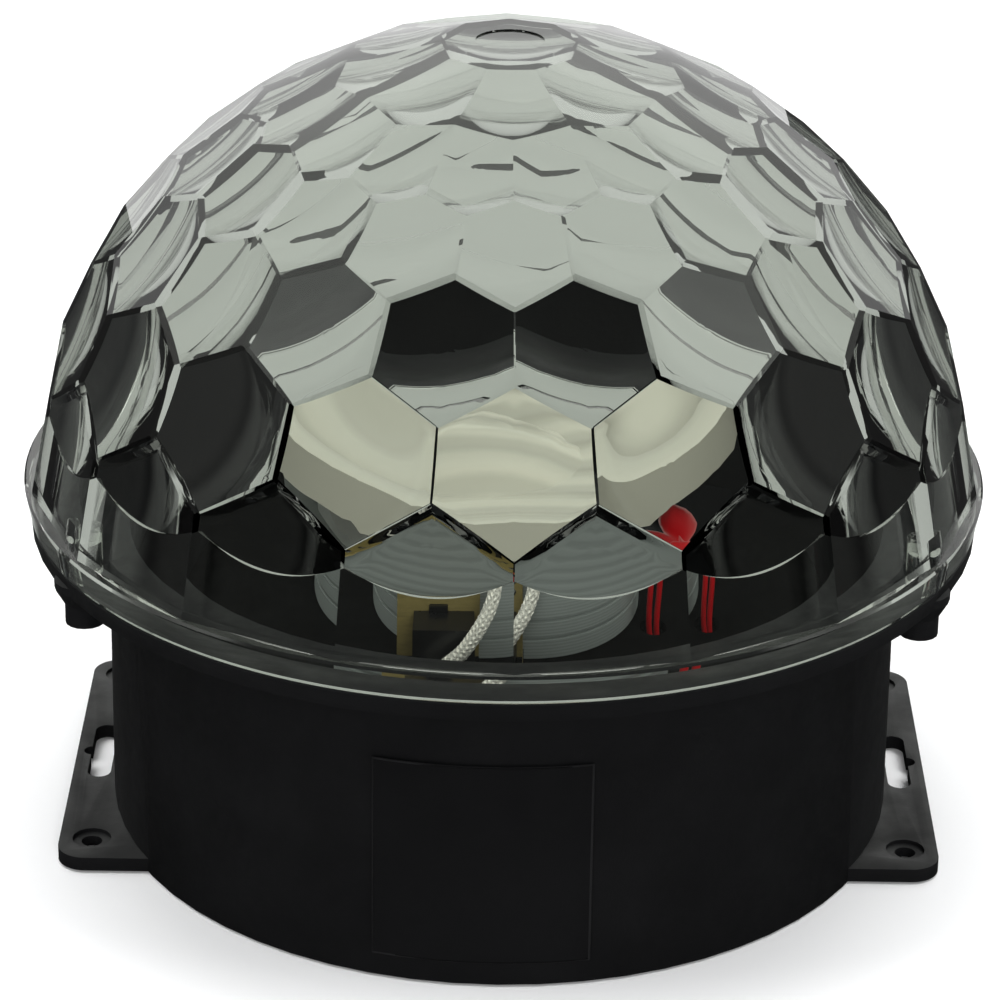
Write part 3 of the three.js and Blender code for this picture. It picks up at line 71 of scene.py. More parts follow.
def srgb(code: str) -> tuple[float, float, float, float]:
    """Turn an sRGB hex colour into Blender's linear one.

    Args:
        code: Six hex digits, such as "1a1a1a".

    Returns:
        Red, green, blue and an alpha of 1, linear.
    """
    parts = [int(code[i : i + 2], 16) / 255 for i in (0, 2, 4)]
    linear = [p / 12.92 if p <= 0.04045 else ((p + 0.055) / 1.055) ** 2.4 for p in parts]
    return (*linear, 1.0)


def add_node(tree: Tree, kind: str, inputs: dict | None = None, **settings: object) -> bpy.types.Node:
    """Add one shader node with its settings, values and links.

    Args:
        tree: The node tree that takes the node.
        kind: The node's type, such as "ShaderNodeTexNoise".
        inputs: Input name or index to a value, or to the socket that feeds it.
        settings: Properties of the node itself.

    Returns:
        The new node.
    """
    node = tree.nodes.new(kind)
    for name, value in settings.items():
        setattr(node, name, value)
    for name, value in (inputs or {}).items():
        socket = node.inputs[name]
        if isinstance(value, bpy.types.NodeSocket):
            tree.links.new(value, socket)
        else:
            socket.default_value = value
    return node


def ramp(tree: Tree, factor: Socket, stops: Sequence[tuple[float, tuple]]) -> Socket:
    """Add a colour ramp over a factor.

    Args:
        tree: The node tree.
        factor: The socket that drives the ramp.
        stops: Positions and their linear colours, lowest first.

    Returns:
        The ramp's colour socket.
    """
    node = add_node(tree, "ShaderNodeValToRGB", {"Fac": factor})
    marks = node.color_ramp.elements
    while len(marks) < len(stops):
        marks.new(0.5)
    for mark, (place, colour) in zip(marks, stops):
        mark.position, mark.color = place, colour
    return node.outputs["Color"]


def noise(tree: Tree, place: Socket, scale: float, detail: float, roughness: float = 0.5) -> Socket:
    """Add a cloudy noise.

    Args:
        tree: The node tree.
        place: The coordinates that it runs over.
        scale: Clouds in a metre.
        detail: How many times finer clouds are laid over it.
        roughness: How strong the finer clouds are.

    Returns:
        A socket from 0 to 1.
    """
    return add_node(tree, "ShaderNodeTexNoise", {
        "Vector": place, "Scale": scale, "Detail": detail, "Roughness": roughness,
    }).outputs["Fac"]


def remap(tree: Tree, value: Socket, source: tuple[float, float], target: tuple[float, float] = (0.0, 1.0),
          **settings: object) -> Socket:
    """Map one span of values onto another, and hold its ends beyond.

    Args:
        tree: The node tree.
        value: The socket that is mapped.
        source: The ends of the span.
        target: The values there.
        settings: Properties of the node itself.

    Returns:
        The mapped socket.
    """
    return add_node(tree, "ShaderNodeMapRange", {
        "Value": value, "From Min": source[0], "From Max": source[1],
        "To Min": target[0], "To Max": target[1],
    }, **settings).outputs["Result"]


def bump(tree: Tree, height: Socket, depth_mm: float) -> Socket:
    """Raise a relief, depth_mm deep, from a socket that gives its height."""
    return add_node(tree, "ShaderNodeBump", {
        "Height": height, "Distance": depth_mm * MM, "Strength": 1.0,
    }).outputs["Normal"]


def shade(colour: tuple, factor: float) -> tuple:
    """Darken or lighten a linear colour.

    Args:
        colour: The linear colour.
        factor: What each channel is multiplied by.

    Returns:
        The new linear colour.
    """
    return (*(min(1.0, c * factor) for c in colour[:3]), 1.0)


@dataclass(frozen=True)
class Finish:
    """A surface finish: a base colour whose shade, gloss and relief vary on a real scale.

    Attributes:
        name: The material's name.
        colour: sRGB hex colour.
        roughness: Mean roughness.
        metallic: 1 for bare metal.
        mottle_mm: Size of the slow change in shade.
        mottle: How far the shade changes, as a share.
        grain_mm: Size of the fine relief.
        relief_mm: Depth of the fine relief.
        coat: Clear coat weight.
        coat_roughness: Roughness of that coat.
        specular: Reflectivity setting of plastics.
        gloss_spread: How far the roughness changes, as a share.
        gloss_pace: How many times faster it changes than the shade.
    """

    name: str
    colour: str
    roughness: float = 0.45
    metallic: float = 0.0
    mottle_mm: float = 22.0
    mottle: float = 0.10
    grain_mm: float = 0.55
    relief_mm: float = 0.02
    coat: float = 0.0
    coat_roughness: float = 0.12
    specular: float = 0.5
    gloss_spread: float = 0.22
    gloss_pace: float = 1.7

    def build(self) -> bpy.types.Material:
        """Make the material.

        Returns:
            The finished material.
        """
        material = bpy.data.materials.new(self.name)
        material.use_nodes = True
        tree = material.node_tree
        tree.nodes.clear()
        place = add_node(tree, "ShaderNodeTexCoord").outputs["Object"]
        add_node(tree, "ShaderNodeOutputMaterial", {"Surface": self.surface(tree, place)})
        return material

    def surface(self, tree: Tree, place: Socket) -> Socket:
        """Make the shader of the surface from its colour, gloss and relief."""
        return add_node(tree, "ShaderNodeBsdfPrincipled", {
            "Metallic": self.metallic, "Coat Weight": self.coat, "Coat Roughness": self.coat_roughness,
            "Specular IOR Level": self.specular, "Base Color": self.base_colour(tree, place),
            "Roughness": self.gloss(tree, place), "Normal": self.relief(tree, place),
        }).outputs["BSDF"]

    def base_colour(self, tree: Tree, place: Socket) -> Socket:
        """Mottle the base colour slightly.

        Args:
            tree: The node tree.
            place: The object coordinates.

        Returns:
            The colour socket.
        """
        base = srgb(self.colour)
        cloud = noise(tree, place, 1 / (self.mottle_mm * MM), detail=5.0, roughness=0.6)
        shades = (shade(base, 1 - self.mottle), shade(base, 1 + self.mottle))
        return ramp(tree, cloud, list(zip(NOISE_SPAN, shades)))

    def gloss(self, tree: Tree, place: Socket) -> Socket:
        """Vary the roughness, as handling and moulding leave it.

        Args:
            tree: The node tree.
            place: The object coordinates.

        Returns:
            The roughness socket.
        """
        cloud = noise(tree, place, self.gloss_pace / (self.mottle_mm * MM), detail=6.0, roughness=0.65)
        spread = self.gloss_spread * self.roughness
        return remap(tree, cloud, NOISE_SPAN, (self.roughness - spread, self.roughness + spread))

    def relief(self, tree: Tree, place: Socket) -> Socket:
        """Raise the fine grain."""
        return bump(tree, noise(tree, place, 1 / (self.grain_mm * MM), detail=3.0), self.relief_mm)


@dataclass(frozen=True)
class ClearAcrylic(Finish):
    """A clear moulding: the light bends in it, and its faces flow slightly as moulded ones do.

    Attributes:
        ior: Index of refraction of acrylic.
        passed: sRGB hex colour of the light that it lets through onto what it shades.
    """

    ior: float = 1.49
    passed: str = "f2f5f3"

    def surface(self, tree: Tree, place: Socket) -> Socket:
        """Make the clear shader, which bends the light and casts hardly any shadow.

        Args:
            tree: The node tree.
            place: The object coordinates.

        Returns:
            The shader socket.
        """
        shader = add_node(tree, "ShaderNodeBsdfPrincipled", {
            "Base Color": srgb(self.colour), "Roughness": self.roughness, "IOR": self.ior,
            "Transmission Weight": 1.0, "Normal": self.relief(tree, place),
        })
        clear = add_node(tree, "ShaderNodeBsdfTransparent", {"Color": srgb(self.passed)})
        path = add_node(tree, "ShaderNodeLightPath")
        return add_node(tree, "ShaderNodeMixShader", {
            "Fac": path.outputs["Is Shadow Ray"], 1: shader.outputs["BSDF"], 2: clear.outputs["BSDF"],
        }).outputs["Shader"]


class Grain(Enum):
    """Which way a finish's lines run."""

    ROUND_Z = "rings stacked along Z"
    RINGS = "rings round the Z axis"
    WOVEN = "two crossing sets of threads"
    FIBRE = "short fibres"


@dataclass(frozen=True)
class LinedFinish(Finish):
    """A finish with a directed relief: turned metal, wound wire, a woven sleeve or fibre board.

    Attributes:
        grain: How the lines run.
        line_mm: Width of one line, which is half the distance from ridge to ridge.
        line_depth_mm: Depth of the lines.
        contrast: How much darker the valleys are.
        fibre_length: Length of a fibre in widths.
        yarn_turn: Radians round Z by which woven threads lie askew.
        span: Where the line pattern is darkest, and where it has reached its full colour.
    """

    grain: Grain = Grain.ROUND_Z
    line_mm: float = 0.4
    line_depth_mm: float = 0.03
    contrast: float = 0.2
    fibre_length: float = 7.0
    yarn_turn: float = 0.6
    span: tuple[float, float] = (0.15, 0.65)

    def lines(self, tree: Tree, place: Socket) -> Socket:
        """Make the line pattern.

        Args:
            tree: The node tree.
            place: The object coordinates.

        Returns:
            A socket from 0 in the valleys to 1 on the ridges.
        """
        if self.grain is Grain.FIBRE:
            flat = (1.0, 1.0, self.fibre_length)
            laid = add_node(tree, "ShaderNodeMapping", {"Vector": place, "Scale": flat}).outputs["Vector"]
            return noise(tree, laid, 1 / (self.line_mm * self.fibre_length * MM), detail=4.0)
        if self.grain is Grain.ROUND_Z:
            return self.waves(tree, place, distortion=0.4, bands_direction="Z")
        if self.grain is Grain.RINGS:
            return self.waves(tree, place, distortion=0.2, detail=1.0, wave_type="RINGS",
                              rings_direction="Z")
        yarns = []
        for turn in (math.pi / 4, -math.pi / 4):
            turns = (0.0, turn, self.yarn_turn)
            laid = add_node(tree, "ShaderNodeMapping", {"Vector": place, "Rotation": turns}).outputs["Vector"]
            yarns.append(self.waves(tree, laid, distortion=0.3, bands_direction="Z"))
        crossed = add_node(tree, "ShaderNodeMath", {0: yarns[0], 1: yarns[1]}, operation="MULTIPLY")
        return crossed.outputs["Value"]

    def waves(self, tree: Tree, place: Socket, distortion: float, detail: float = 2.0,
              **settings: str) -> Socket:
        """Add one set of lines; the settings are the wave node's own and say which way they run."""
        return add_node(tree, "ShaderNodeTexWave", {
            "Vector": place, "Scale": HALF_WAVE / (self.line_mm * MM), "Distortion": distortion,
            "Detail": detail,
        }, **settings).outputs["Fac"]

    def base_colour(self, tree: Tree, place: Socket) -> Socket:
        """Darken the valleys between the lines and lighten the ridges. On wound wire, woven threads and
        turned rings this is painted shade in the grooves and painted light on the ridges; on fibres and tape
        overlaps it is their own tone.

        Args:
            tree: The node tree.
            place: The object coordinates.

        Returns:
            The colour socket.
        """
        base = srgb(self.colour)
        shades = (shade(base, 1 - self.contrast), shade(base, 1 + self.contrast / 3))
        return ramp(tree, self.lines(tree, place), list(zip(self.span, shades)))

    def relief(self, tree: Tree, place: Socket) -> Socket:
        """Raise the lines."""
        return bump(tree, self.lines(tree, place), self.line_depth_mm)


# Clear acrylic moulded in a polished tool: sharp facets that bend the light, with next to no haze
CLEAR = ClearAcrylic("clear_acrylic_polished", "f5f7f3", roughness=0.0, grain_mm=16.0, relief_mm=0.0012)
# Cast silicone over each lamp: a small warm clear bead, softer than the dome
LAMP_CLEAR = ClearAcrylic("lamp_lens_silicone", "fdf6dc", roughness=0.02, grain_mm=3.0, relief_mm=0.002)
# Opal acrylic with turned light rings: a cream disc whose rings bend into soft arcs behind the dome's lenses,
# with painted shade in the ring grooves and painted light on their ridges
OPAL = LinedFinish("lens_wheel_opal_acrylic", "cfcbbb", roughness=0.22, grain=Grain.RINGS, line_mm=2.2,
                   line_depth_mm=0.35, contrast=0.16, coat=0.6, specular=0.8)
# ABS from a spark-eroded tool: a deep even black with a fine grain and no highlights
HOUSING = Finish("housing_moulded_spark_eroded", "131314", roughness=0.55, mottle=0.16, grain_mm=0.5,
                 relief_mm=0.02, specular=0.18)
# ABS with a coarse tool face: a dead black floor that lets the lamp drum stand out
INNER_FLOOR = Finish("floor_moulded_matt", "0b0b0b", roughness=0.8, mottle=0.12, grain_mm=0.5,
                     specular=0.05)
# Nylon and ABS from smooth tools: a slight sheen on the controls and connectors
GLOSS_BLACK = Finish("control_plastic_satin", "0e0e0f", roughness=0.3, mottle=0.12, grain_mm=0.9,
                     relief_mm=0.008)
# Polyester film printed black: as dull as the wall behind it, with a shallower relief
LABEL = Finish("label_film_matt", "111112", roughness=0.55, mottle=0.12, grain_mm=0.8, relief_mm=0.012,
               specular=0.15)
# The same film made paler, for its cut sides and for a thin painted highlight band round the label's front
CUT_EDGE_AND_HIGHLIGHT = Finish("label_cut_edge_and_painted_highlight", "1c1c1d", roughness=0.6, mottle=0.1, grain_mm=1.0,
                   relief_mm=0.004)
# Moulded nitrile rubber: dull dark grey feet
RUBBER = Finish("foot_rubber_matt", "1b1b1c", roughness=0.85, grain_mm=0.3, relief_mm=0.03)
# Zinc-plated steel from a tumbling drum: small bright heads with uneven gloss
SCREW = Finish("screw_zinc_plated", "a9abb0", roughness=0.28, metallic=1.0, mottle_mm=2.0, grain_mm=0.3,
               relief_mm=0.01)
# Deep-drawn plated sheet: a smooth grey can
SHEET = Finish("motor_sheet_plated", "a8a9ab", roughness=0.35, metallic=1.0, mottle_mm=6.0, grain_mm=0.6,
               relief_mm=0.01)
# Die-cast aluminium, blasted and sealed: a chalky mid grey with faint turning marks, with painted shade in
# their grooves and painted light on their ridges
DRUM = LinedFinish("drum_blasted_aluminium", "9da29f", roughness=0.6, metallic=0.15, line_mm=0.35,
                   line_depth_mm=0.012, contrast=0.12)
# White solder mask baked on a metal board: clean, slightly glossy
WHITE_BOARD = Finish("board_white_mask", "efeee8", roughness=0.35, mottle=0.04, grain_mm=0.8,
                     relief_mm=0.01, coat=0.3)
# Phenolic paper board: an olive brown with short fibres
BROWN_BOARD = LinedFinish("board_phenolic_paper", "84764a", roughness=0.5, grain=Grain.FIBRE, line_mm=0.5,
                          contrast=0.25)
# Glass-fibre board under green mask: mottled green with a wet gloss
GREEN_BOARD = Finish("board_green_mask", "1c5237", roughness=0.3, mottle_mm=5.0, mottle=0.2, grain_mm=0.8,
                     coat=0.3)
# Moulded acetal: a waxy off-white
ACETAL = Finish("acetal_moulded", "e6e3da", roughness=0.42, mottle=0.05, grain_mm=0.6, relief_mm=0.01)
# Extruded vinyl insulation: smooth saturated red leads
RED_VINYL = Finish("wire_red_vinyl", "c01018", roughness=0.35, mottle_mm=5.0, grain_mm=0.4, relief_mm=0.01)
# Woven glass-fibre yarn: white threads with a soft sheen, with painted shade between them where they cross
# and painted light on their tops
SLEEVE = LinedFinish("sleeve_woven_glass_fibre", "f0ece2", roughness=0.8, grain=Grain.WOVEN, line_mm=0.55,
                     line_depth_mm=0.12, contrast=0.35)
# Enamelled copper wire wound in layers: orange-brown with close shining lines, shining partly by the metal's
# own gloss and partly by painted light on each turn, with painted shade between turns
COPPER = LinedFinish("winding_enamelled_copper", "9a4f22", roughness=0.3, metallic=1.0, line_mm=0.3,
                     line_depth_mm=0.06, contrast=0.4)
# Turned brass: yellow with fine rings, with painted shade in their grooves and painted light on their ridges
BRASS = LinedFinish("brass_turned", "c8a24e", roughness=0.3, metallic=1.0, line_mm=0.3, line_depth_mm=0.008)
# Tin-lead solder: small bright domes
SOLDER = Finish("solder_tin", "c9cbcc", roughness=0.25, metallic=1.0, mottle_mm=1.0, grain_mm=0.5,
                relief_mm=0.01)
# Phosphor in silicone over the lamp chip: a flat strong yellow
PHOSPHOR = Finish("lamp_phosphor", "e6c32e", roughness=0.6, mottle_mm=1.0, mottle=0.08, grain_mm=0.2,
                  relief_mm=0.01)
# Pad-printed ink: flat white marks
INK = Finish("print_white_ink", "e2e2de", roughness=0.6, mottle=0.05, grain_mm=0.3, relief_mm=0.004)
# Pressed ferrite: a dull charcoal with a sandy grain
FERRITE = Finish("magnet_pressed_ferrite", "3b3b3f", roughness=0.6, grain_mm=0.25, relief_mm=0.03)
# Polyester tape wound round the windings: glossy yellow with faint overlaps
TAPE = LinedFinish("tape_polyester_yellow", "d3a61e", roughness=0.35, line_mm=3.0, line_depth_mm=0.05,
                   contrast=0.1)
# Moulded nylon and shrink film: a plain mid blue
BLUE = Finish("blue_moulded", "1d477f", roughness=0.4, mottle=0.08, grain_mm=0.6, relief_mm=0.01)

SLOT_FINISHES: dict[str, Finish] = {
    "clear_plastic": CLEAR, "black_plastic": HOUSING, "label": LABEL, "foot_rubber": RUBBER,
    "screw_steel": SCREW, "motor_steel": SHEET, "drum_aluminium": DRUM, "white_board": WHITE_BOARD,
    "brown_board": BROWN_BOARD, "green_board": GREEN_BOARD, "white_plastic": ACETAL,
    "red_insulation": RED_VINYL, "woven_sleeve": SLEEVE, "copper_winding": COPPER, "brass": BRASS,
    "magnet": FERRITE, "yellow_tape": TAPE, "blue_plastic": BLUE,
}
NODE_FINISHES: dict[str, Finish] = {
    "inner_floor": INNER_FLOOR, "lens_wheel": OPAL, "lamp_1": LAMP_CLEAR, "lamp_2": LAMP_CLEAR,
    "lamp_3": LAMP_CLEAR, "driver_choke": GLOSS_BLACK, "mains_inlet": GLOSS_BLACK,
    "switch_body": GLOSS_BLACK, "power_rocker": GLOSS_BLACK, "button_body": GLOSS_BLACK,
    "mode_button": GLOSS_BLACK, "sensitivity_knob": GLOSS_BLACK,
}


class Materials:
    """Makes each finish once and finds the one that a node wears.

    Attributes:
        made: The materials made so far.
        slots: The material slot of each node, from the frame's record.
        bodies: The body that each node rides on.
    """

    def __init__(self) -> None:
        """Read the slots and the bodies."""
        self.made: dict[Finish, bpy.types.Material] = {}
        self.slots = {entry["node"]: entry["material_slot"] for entry in frame["record"]["subparts"]}
        groups = frame["record"]["behaviour"]["bodies"]
        self.bodies = {node: body for body, nodes in groups.items() for node in nodes}

    def of(self, finish: Finish) -> bpy.types.Material:
        """Give a finish's material.

        Args:
            finish: The finish.

        Returns:
            Its material, made on first use.
        """
        if finish not in self.made:
            self.made[finish] = finish.build()
        return self.made[finish]

    def of_node(self, node: str) -> bpy.types.Material:
        """Give the material of a node of the frame.

        Args:
            node: The node's name.

        Returns:
            Its material.
        """
        return self.of(NODE_FINISHES.get(node) or SLOT_FINISHES[self.slots[node]])


@contextmanager
def editing(mesh: bpy.types.Mesh) -> Iterator[Form]:
    """Open a mesh for changes and write them back.

    Args:
        mesh: The mesh, which may still be empty.

    Yields:
        Its form, which holds its corners, edges and faces.
    """
    form = bmesh.new()
    form.from_mesh(mesh)
    yield form
    form.to_mesh(mesh)
    form.free()


def new_object(name: str, mesh: bpy.types.Mesh, material: bpy.types.Material) -> bpy.types.Object:
    """Put a mesh in the scene with its material.

    Args:
        name: The object's name.
        mesh: Its mesh.
        material: Its only material.

    Returns:
        The object.
    """
    piece = bpy.data.objects.new(name, mesh)
    bpy.context.scene.collection.objects.link(piece)
    mesh.materials.clear()
    mesh.materials.append(material)
    return piece


def apply_modifiers(piece: bpy.types.Object) -> None:
    """Turn a piece's modifiers into its own mesh.

    Args:
        piece: The piece.
    """
    graph = bpy.context.evaluated_depsgraph_get()
    mesh = bpy.data.meshes.new_from_object(piece.evaluated_get(graph))
    piece.modifiers.clear()
    old, piece.data = piece.data, mesh
    bpy.data.meshes.remove(old)


def smooth_by_angle(mesh: bpy.types.Mesh, degrees: float) -> None:
    """Shade a mesh smoothly apart from its sharper edges.

    Args:
        mesh: The mesh.
        degrees: Edges that turn by more than this stay sharp.
    """
    limit = math.radians(degrees)
    with editing(mesh) as form:
        for face in form.faces:
            face.smooth = True
        for edge in form.edges:
            edge.smooth = len(edge.link_faces) == 2 and edge.calc_face_angle(math.pi) < limit


@dataclass
class SubAssembly:
    """Nodes of the frame that keep their shape and get smooth rounds, a finish and, if set, soft edges.

    Attributes:
        materials: Where the finishes come from.
        nodes: The nodes that it dresses.
        edge_mm: Radius of the softened edges; 0 leaves them sharp.
        smooth_degrees: Edges that turn by less than this are shaded as one round.
        weld_mm: Corners closer than this are one corner.
        flat_degrees: Faces that turn by less than this are one face.
        edge_segments: Faces across a softened edge.
        edge_margin: Degrees over smooth_degrees from which an edge is softened.
        block_edge_share: A small block's edge radius as a share of its shortest side.
        button_turns: Radians up a small round's domed top at which it has a ring.
        button_sides: Number of a small round's sides.
        button_smooth: Degrees under which a small round's edges are shaded as one.
    """

    materials: Materials
    nodes: tuple[str, ...] = ()
    edge_mm: float = 0.0
    smooth_degrees: float = 28.0
    weld_mm: float = 0.002
    flat_degrees: float = 0.5
    edge_segments: int = 2
    edge_margin: float = 4.0
    block_edge_share: float = 0.12
    button_turns: tuple[float, ...] = (0.0, 0.4, 0.8, 1.2)
    button_sides: int = 20
    button_smooth: float = 40.0

    def build(self) -> None:
        """Dress the nodes and add the details, and log each piece."""
        for piece in [self.dress(node) for node in self.nodes] + self.details():
            LOG.info("%s: %s, %d faces", type(self).__name__, piece.name, len(piece.data.polygons))

    def details(self) -> list[bpy.types.Object]:
        """Make the pieces that are too fine for the frame; a plain sub-assembly has none."""
        return []

    def dress(self, node: str) -> bpy.types.Object:
        """Dress one node.

        Args:
            node: The node's name.

        Returns:
            The piece that stands for it.
        """
        mesh = frame["nodes"][node].data.copy()
        with editing(mesh) as form:
            bmesh.ops.remove_doubles(form, verts=form.verts, dist=self.weld_mm * MM)
            bmesh.ops.dissolve_limit(form, angle_limit=math.radians(self.flat_degrees), verts=form.verts,
                                     edges=form.edges)
        piece = new_object(f"{node}_dressed", mesh, self.materials.of_node(node))
        if self.edge_mm > 0:
            bevel = piece.modifiers.new("soft_edges", "BEVEL")
            bevel.width = self.edge_mm * MM
            bevel.segments = self.edge_segments
            bevel.limit_method = "ANGLE"
            bevel.angle_limit = math.radians(self.smooth_degrees + self.edge_margin)
            bevel.use_clamp_overlap = True
            apply_modifiers(piece)
        smooth_by_angle(piece.data, self.smooth_degrees)
        return self.stand_for(piece, node)

    def stand_for(self, piece: bpy.types.Object, node: str) -> bpy.types.Object:
        """Let a piece stand for a node of the frame.

        Args:
            piece: The piece.
            node: The node.

        Returns:
            The piece.
        """
        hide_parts(node)
        return self.fasten(piece, node)

    def fasten(self, piece: bpy.types.Object, node: str) -> bpy.types.Object:
        """Let a piece ride with a node.

        Args:
            piece: The piece.
            node: The node.

        Returns:
            The piece.
        """
        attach(piece, self.materials.bodies[node])
        return piece

    def block(self, name: str, finish: Finish, node: str, middle: tuple, size: tuple) -> bpy.types.Object:
        """Add a small block with softened edges.

        Args:
            name: The piece's name.
            finish: Its finish.
            node: The node that it rides with.
            middle: Its middle in millimetres.
            size: Its sides in millimetres.

        Returns:
            The piece.
        """
        mesh = bpy.data.meshes.new(name)
        with editing(mesh) as form:
            bmesh.ops.create_cube(form, size=1.0)
            bmesh.ops.scale(form, vec=[side * MM for side in size], verts=form.verts)
            bmesh.ops.bevel(form, geom=form.edges[:], offset=self.block_edge_share * min(size) * MM,
                            segments=self.edge_segments, affect="EDGES")
            bmesh.ops.translate(form, vec=[way * MM for way in middle], verts=form.verts)
        smooth_by_angle(mesh, self.smooth_degrees)
        return self.fasten(new_object(name, mesh, self.materials.of(finish)), node)

    def button(self, name: str, finish: Finish, node: str, middle: tuple, radius: float, rise: float,
               facing: str = "Z") -> bpy.types.Object:
        """Add a small round with a domed top.

        Args:
            name: The piece's name.
            finish: Its finish.
            node: The node that it rides with.
            middle: The middle of its foot in millimetres.
            radius: Its radius in millimetres.
            rise: Its height in millimetres.
            facing: "Z" for upwards, "Y" for backwards, "-Y" for forwards.

        Returns:
            The piece.
        """
        arc = [(radius * math.cos(turn), rise * math.sin(turn)) for turn in self.button_turns]
        mesh = turned_mesh(name, [(0, 0), *arc, (0, rise)], self.button_sides)
        tilt = {"Z": 0.0, "Y": -math.pi / 2, "-Y": math.pi / 2}[facing]
        spot = Matrix.Translation(Vector(middle) * MM)
        mesh.transform(spot @ Matrix.Rotation(tilt, 4, "X"))
        smooth_by_angle(mesh, self.button_smooth)
        return self.fasten(new_object(name, mesh, self.materials.of(finish)), node)


@dataclass
class BaseShell(SubAssembly):
    """The round housing with its ears, the bottom cover and the label.

    Attributes:
        highlight_band_mm: Width of the painted highlight band round the label's front.
        facing: How squarely a face looks forwards where it belongs to the film's front, up to 1.
    """

    highlight_band_mm: float = 0.3
    facing: float = 0.9

    def details(self) -> list[bpy.types.Object]:
        """Lay the label with its paler cut sides and a painted highlight band round its front.

        Returns:
            The label.
        """
        piece = self.dress("label_plate")
        piece.data.materials.append(self.materials.of(CUT_EDGE_AND_HIGHLIGHT))
        with editing(piece.data) as form:
            front = [face for face in form.faces if face.normal.y < -self.facing]
            inner = set(front)
            bmesh.ops.inset_region(form, faces=front, thickness=self.highlight_band_mm * MM, use_even_offset=True)
            # The inset band round the front, the cut sides and the back take the paler film colour; on the
            # front the band is a painted highlight
            for face in form.faces:
                face.material_index = 0 if face in inner else 1
        smooth_by_angle(piece.data, self.smooth_degrees)
        return [piece]


@dataclass
class LampUnit(SubAssembly):
    """The drum, the lamp board and its lamps, with the lamps' phosphor and the board's small parts.

    Attributes:
        board_top: Height of the lamp board's upper face in millimetres.
        lamp_circle: Radius of the circle that the lamps stand on.
        lamp_turn: Degrees from +X to the first lamp.
        lamp_count: Number of lamps.
        chip_height: Height of the phosphor's foot over the board.
        chip_side: Side of the phosphor.
        chip_rise: Thickness of the phosphor.
        pads: Where the leads are soldered to the board, in millimetres.
        solder_radius: Radius of a solder joint.
        solder_rise: Height of a solder joint.
        resistor_circle: Radius of the circle that the small resistors stand on.
        resistor_size: Sides of a small resistor.
    """

    board_top: float = 76.9
    lamp_circle: float = 19.0
    lamp_turn: float = 30.0
    lamp_count: int = 3
    chip_height: float = 1.95
    chip_side: float = 1.9
    chip_rise: float = 0.3
    pads: tuple = ((28.6, -7.0), (27.4, -10.6), (2.0, -29.0))
    solder_radius: float = 1.5
    solder_rise: float = 0.5
    resistor_circle: float = 26.5
    resistor_size: tuple = (3.2, 1.6, 0.6)

    def details(self) -> list[bpy.types.Object]:
        """Add the phosphor, the solder and the resistors.

        Returns:
            The new pieces.
        """
        made = []
        step = 360 / self.lamp_count
        for i in range(self.lamp_count):
            turn = math.radians(self.lamp_turn + i * step)
            middle = (self.lamp_circle * math.cos(turn), self.lamp_circle * math.sin(turn),
                      self.board_top + self.chip_height + self.chip_rise / 2)
            made.append(self.block(f"lamp_phosphor_{i + 1}", PHOSPHOR, "lamp_board", middle,
                                   (self.chip_side, self.chip_side, self.chip_rise)))
            turn += math.radians(step / 2)
            side = (self.resistor_circle * math.cos(turn), self.resistor_circle * math.sin(turn),
                    self.board_top + self.resistor_size[2] / 2)
            made.append(self.block(f"lamp_resistor_{i + 1}", GLOSS_BLACK, "lamp_board", side,
                                   self.resistor_size))
        for i, (x, y) in enumerate(self.pads):
            made.append(self.button(f"lamp_solder_{i + 1}", SOLDER, "lamp_board", (x, y, self.board_top),
                                    self.solder_radius, self.solder_rise))
        return made


@dataclass
class DriverBoard(SubAssembly):
    """The brown board before the drum, with its choke, solder joints and a small chip.

    Attributes:
        columns: Solder joints across the board.
        rows: Rows of solder joints.
        joint_radius: Radius of a joint in millimetres.
        joint_rise: Height of a joint.
        margin: Distance of the outer joints from the board's edge.
        chip_drop: Distance of the chip's middle from the board's upper edge.
        chip_size: The chip's sides.
    """

    columns: int = 6
    rows: int = 2
    joint_radius: float = 0.8
    joint_rise: float = 0.5
    margin: float = 2.4
    chip_drop: float = 9.6
    chip_size: tuple[float, float, float] = (5.0, 1.5, 4.0)

    def details(self) -> list[bpy.types.Object]:
        """Add the joints and the chip on the board's front.

        Returns:
            The new pieces.
        """
        low, high = reach_of("driver_board")
        width = high.x - low.x - 2 * self.margin
        made = []
        for row in range(self.rows):
            for column in range(self.columns):
                spot = (low.x + self.margin + width * column / (self.columns - 1), low.y,
                        high.z - self.margin * (row + 1))
                made.append(self.button(f"driver_joint_{row + 1}_{column + 1}", SOLDER, "driver_board", spot,
                                        self.joint_radius, self.joint_rise, "-Y"))
        chip = ((low.x + high.x) / 2, low.y - self.chip_size[1] / 2, high.z - self.chip_drop)
        made.append(self.block("driver_chip", GLOSS_BLACK, "driver_board", chip, self.chip_size))
        return made


